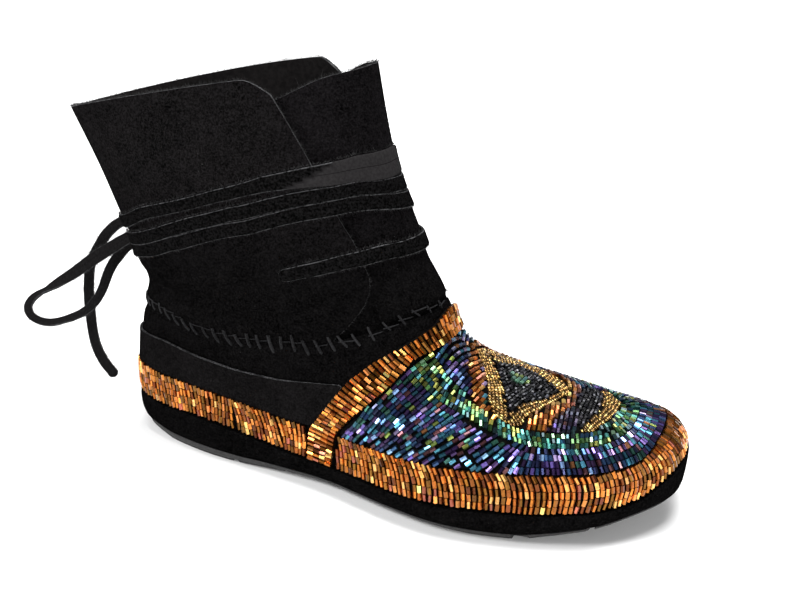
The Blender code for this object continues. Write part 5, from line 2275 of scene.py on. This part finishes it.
@dataclass
class Fuzz(Part):
    """Loose fibres along the cut edges of the suede: collar, flaps and thong."""

    collar: Fringe = Fringe(9.0, 0.75, 1.8)
    panel: Fringe = Fringe(9.0, 0.75, 1.5)
    flap: Fringe = Fringe(7.0, 0.6, 1.2)
    thong: Fringe = Fringe(6.0, 0.7, 0.6)
    thickness: float = 0.11
    stray: float = 0.7             # scatter of the fibres' lay along the edge, and off the face
    stray_out: float = 0.5
    rise: float = 0.15             # how far they stand off the face on the whole
    sunk: float = 0.3              # share of its length from a fibre's middle to the edge
    seed: int = 77
    marks: list[Mark] = field(default_factory=list)
    rng: np.random.Generator = field(init=False)

    def __post_init__(self) -> None:
        """Seed the fibres' random numbers."""
        self.rng = np.random.default_rng(self.seed)

    def build(self) -> None:
        """Make and hand over the fibres."""
        spread = np.linspace(0, 1, 200)
        for side in (-1, 1):
            self._edge(*flap_grid(1.0, spread * side), (0.2, 0.0), self.collar)
        reach = np.linspace(-1.35, -0.65, 160)
        row = panel_top(reach)
        self._edge(row, reach, (0.2, 0.0), self.panel, panel_depth(row, reach))
        share = np.linspace(0, 1, 160)
        for side in (-1, 1):
            self._edge(*flap_grid(share, np.full(len(share), side)), (0.0, 0.01 * side), self.flap)
        for name in ("wound_tie", *(hang.name for hang in BOW)):
            self._thong(bpy.data.objects[name].data)
        fuzz = seeded("suede_fuzz", self.marks, [self.finishes["fibre"]])
        FibreTree().grow(fuzz, Fibre=self.finishes["fibre"])
        LOG.info("suede_fuzz: %d fibres", len(self.marks))
        hand_over(fuzz)

    def _edge(self, row: Array, reach: Array, back: tuple[float, float], fringe: Fringe,
              under: Array | float = 0.0) -> None:
        """Scatter fibres along an edge on the last.

        Args:
            row: level rows along the edge.
            reach: reaches along it.
            back: the step in row and reach that leads into the leather.
            fringe: the fibres.
            under: how far under the last's skin the edge lies, in millimetres.
        """
        line = self.last.skin(row, reach, -under)
        beyond = unit(line - self.last.skin(row - back[0], reach - back[1], -under))
        self._sow(line, beyond, self.last.normal(row, reach), fringe)

    def _thong(self, mesh: Mesh) -> None:
        """Scatter fibres along both edges of a finished strip.

        Args:
            mesh: the strip's mesh.
        """
        points = np.empty(len(mesh.vertices) * 3, np.float32)
        mesh.vertices.foreach_get("co", points)
        table = points.reshape(-1, len(STRIP_SECTION), 3) / MM + ORIGIN
        middle = table.mean(axis=1)
        out = unit(table[:, 3:6].mean(axis=1) - middle)
        for k, (across, _) in enumerate(STRIP_SECTION):
            if abs(across) == 1.0:
                self._sow(table[:, k], unit(table[:, k] - middle), out, self.thong)

    def _sow(self, line: Array, beyond: Array, out: Array, fringe: Fringe) -> None:
        """Scatter fibres along a line.

        Args:
            line: points along the edge.
            beyond: the direction away from the leather at each point.
            out: the leather's outward direction at each point.
            fringe: the fibres.
        """
        along = lengths(line)
        ahead = unit(np.gradient(line, axis=0))
        for where in self.rng.uniform(0, along[-1], int(along[-1] * fringe.per_mm)):
            place, away, face, onward = (read(where, along, table) for table in (line, beyond, out, ahead))
            length = fringe.length * self.rng.lognormal(-0.1, 0.45)
            fibre = unit(away + onward * self.rng.normal(0, self.stray)
                         + face * self.rng.normal(self.rise, self.stray_out))
            root = place - face * self.rng.uniform(0, fringe.deep) + fibre * length * self.sunk
            self.marks.append(Mark(root, fibre, face, (self.thickness, self.thickness, length)))


# ---- studio
class Lamp(NamedTuple):
    """A square soft light: its place in metres, its side and its power."""

    name: str
    place: tuple[float, float, float]
    size: float
    power: float


LAMPS = (
    Lamp("overhead", (0.05, 0.10, 1.3), 0.8, 26.0),
    Lamp("key_left", (-0.70, -0.75, 0.85), 0.30, 12.0),
    Lamp("front_right", (0.75, -0.95, 0.60), 0.25, 7.0),
    Lamp("back", (0.1, 1.0, 0.9), 0.6, 7.0),
)


@dataclass
class Studio:
    """The camera, a pale floor and soft lights."""

    target: tuple[float, float, float] = (0.0137, 0.0018, 0.082)
    distance: float = 0.425
    azimuth: float = 20.5
    elevation: float = 20.1
    roll: float = 1.6
    lens: float = 44.43
    sensor: float = 36.0
    floor_half: float = 9.0
    glow_from: float = 0.30
    glow_to: float = 0.9
    ambient: float = 0.30
    backdrop: float = 1.05
    aim: tuple[float, float, float] = (0.0, 0.0, 0.06)

    def camera(self) -> None:
        """Place the camera at the boot's own angle."""
        data = bpy.data.cameras.new("boot_camera")
        data.lens = self.lens
        data.sensor_width = self.sensor
        camera = bpy.data.objects.new("boot_camera", data)
        bpy.context.scene.collection.objects.link(camera)
        camera.matrix_world = Matrix.Translation(self.target)
        for angle, axis in ((self.azimuth, "Z"), (90 - self.elevation, "X"), (self.roll, "Z")):
            camera.matrix_world @= Matrix.Rotation(math.radians(angle), 4, axis)
        camera.matrix_world @= Matrix.Translation((0, 0, self.distance))
        bpy.context.scene.camera = camera

    def floor(self) -> None:
        """Lay a wide pale floor that fades into white."""
        net = Net()
        half = self.floor_half / MM
        net.add(np.array([(-half, -half, 0), (half, -half, 0), (half, half, 0), (-half, half, 0)]) + ORIGIN)
        net.face((0, 1, 2, 3))
        surface = Surface("studio_floor")
        away = surface.node("VectorMath", {"operation": "LENGTH"}, surface.place()).outputs["Value"]
        glow = Value(surface, away).between(self.glow_from, self.glow_to)
        surface.set(Base_Color=(0.93, 0.93, 0.93), Roughness=0.9, Specular_IOR_Level=0.1,
                    Emission_Color=surface.mix(glow, (0.0, 0.0, 0.0), (1.0, 1.0, 1.0)), Emission_Strength=1.0)
        piece("studio_floor", net.mesh("studio_floor"), [surface.material])

    def lights(self) -> None:
        """Set up a white world with a key above left, a fill at the right and a low front."""
        world = bpy.data.worlds.new("studio_white")
        world.use_nodes = True
        board, nodes = Board(world.node_tree), world.node_tree.nodes
        soft = nodes["Background"]
        board.feed(soft.inputs["Color"], (1.0, 1.0, 1.0))
        board.feed(soft.inputs["Strength"], self.ambient)
        white = board.wire("Background", None, (1.0, 1.0, 1.0), self.backdrop)
        rays = board.node("LightPath").outputs["Is Camera Ray"]
        board.feed(nodes["World Output"].inputs["Surface"],
                   board.wire("MixShader", None, rays, soft.outputs[0], white))
        bpy.context.scene.world = world
        for lamp in LAMPS:
            data = bpy.data.lights.new(lamp.name, "AREA")
            data.shape, data.size, data.energy = "SQUARE", lamp.size, lamp.power
            thing = bpy.data.objects.new(lamp.name, data)
            bpy.context.scene.collection.objects.link(thing)
            thing.location = lamp.place
            towards = Vector(self.aim) - Vector(lamp.place)
            thing.rotation_euler = towards.to_track_quat("-Z", "Y").to_euler()

    def look(self) -> None:
        """Plain, untoned colour."""
        settings = bpy.context.scene.view_settings
        settings.view_transform = "Standard"
        settings.look = "None"
        settings.exposure = 0.0


def main() -> None:
    """Build the boot in order and report each piece."""
    studio = Studio()
    studio.camera()
    last = Last()
    finishes = {name: finish.dress() for name, finish in FINISHES.items()}
    for kind in (Bow, Tie, Bottom, Upper, BeadRands, ThroatBand, VampBeadwork, WhipStitch, Fuzz):
        began = time.perf_counter()
        kind(last, finishes).build()
        LOG.info("%s: %.1f s", kind.__name__, time.perf_counter() - began)
    studio.floor()
    studio.lights()
    studio.look()


if __name__ == "__main__":
    logging.basicConfig(level=logging.INFO, format="%(message)s")
    main()
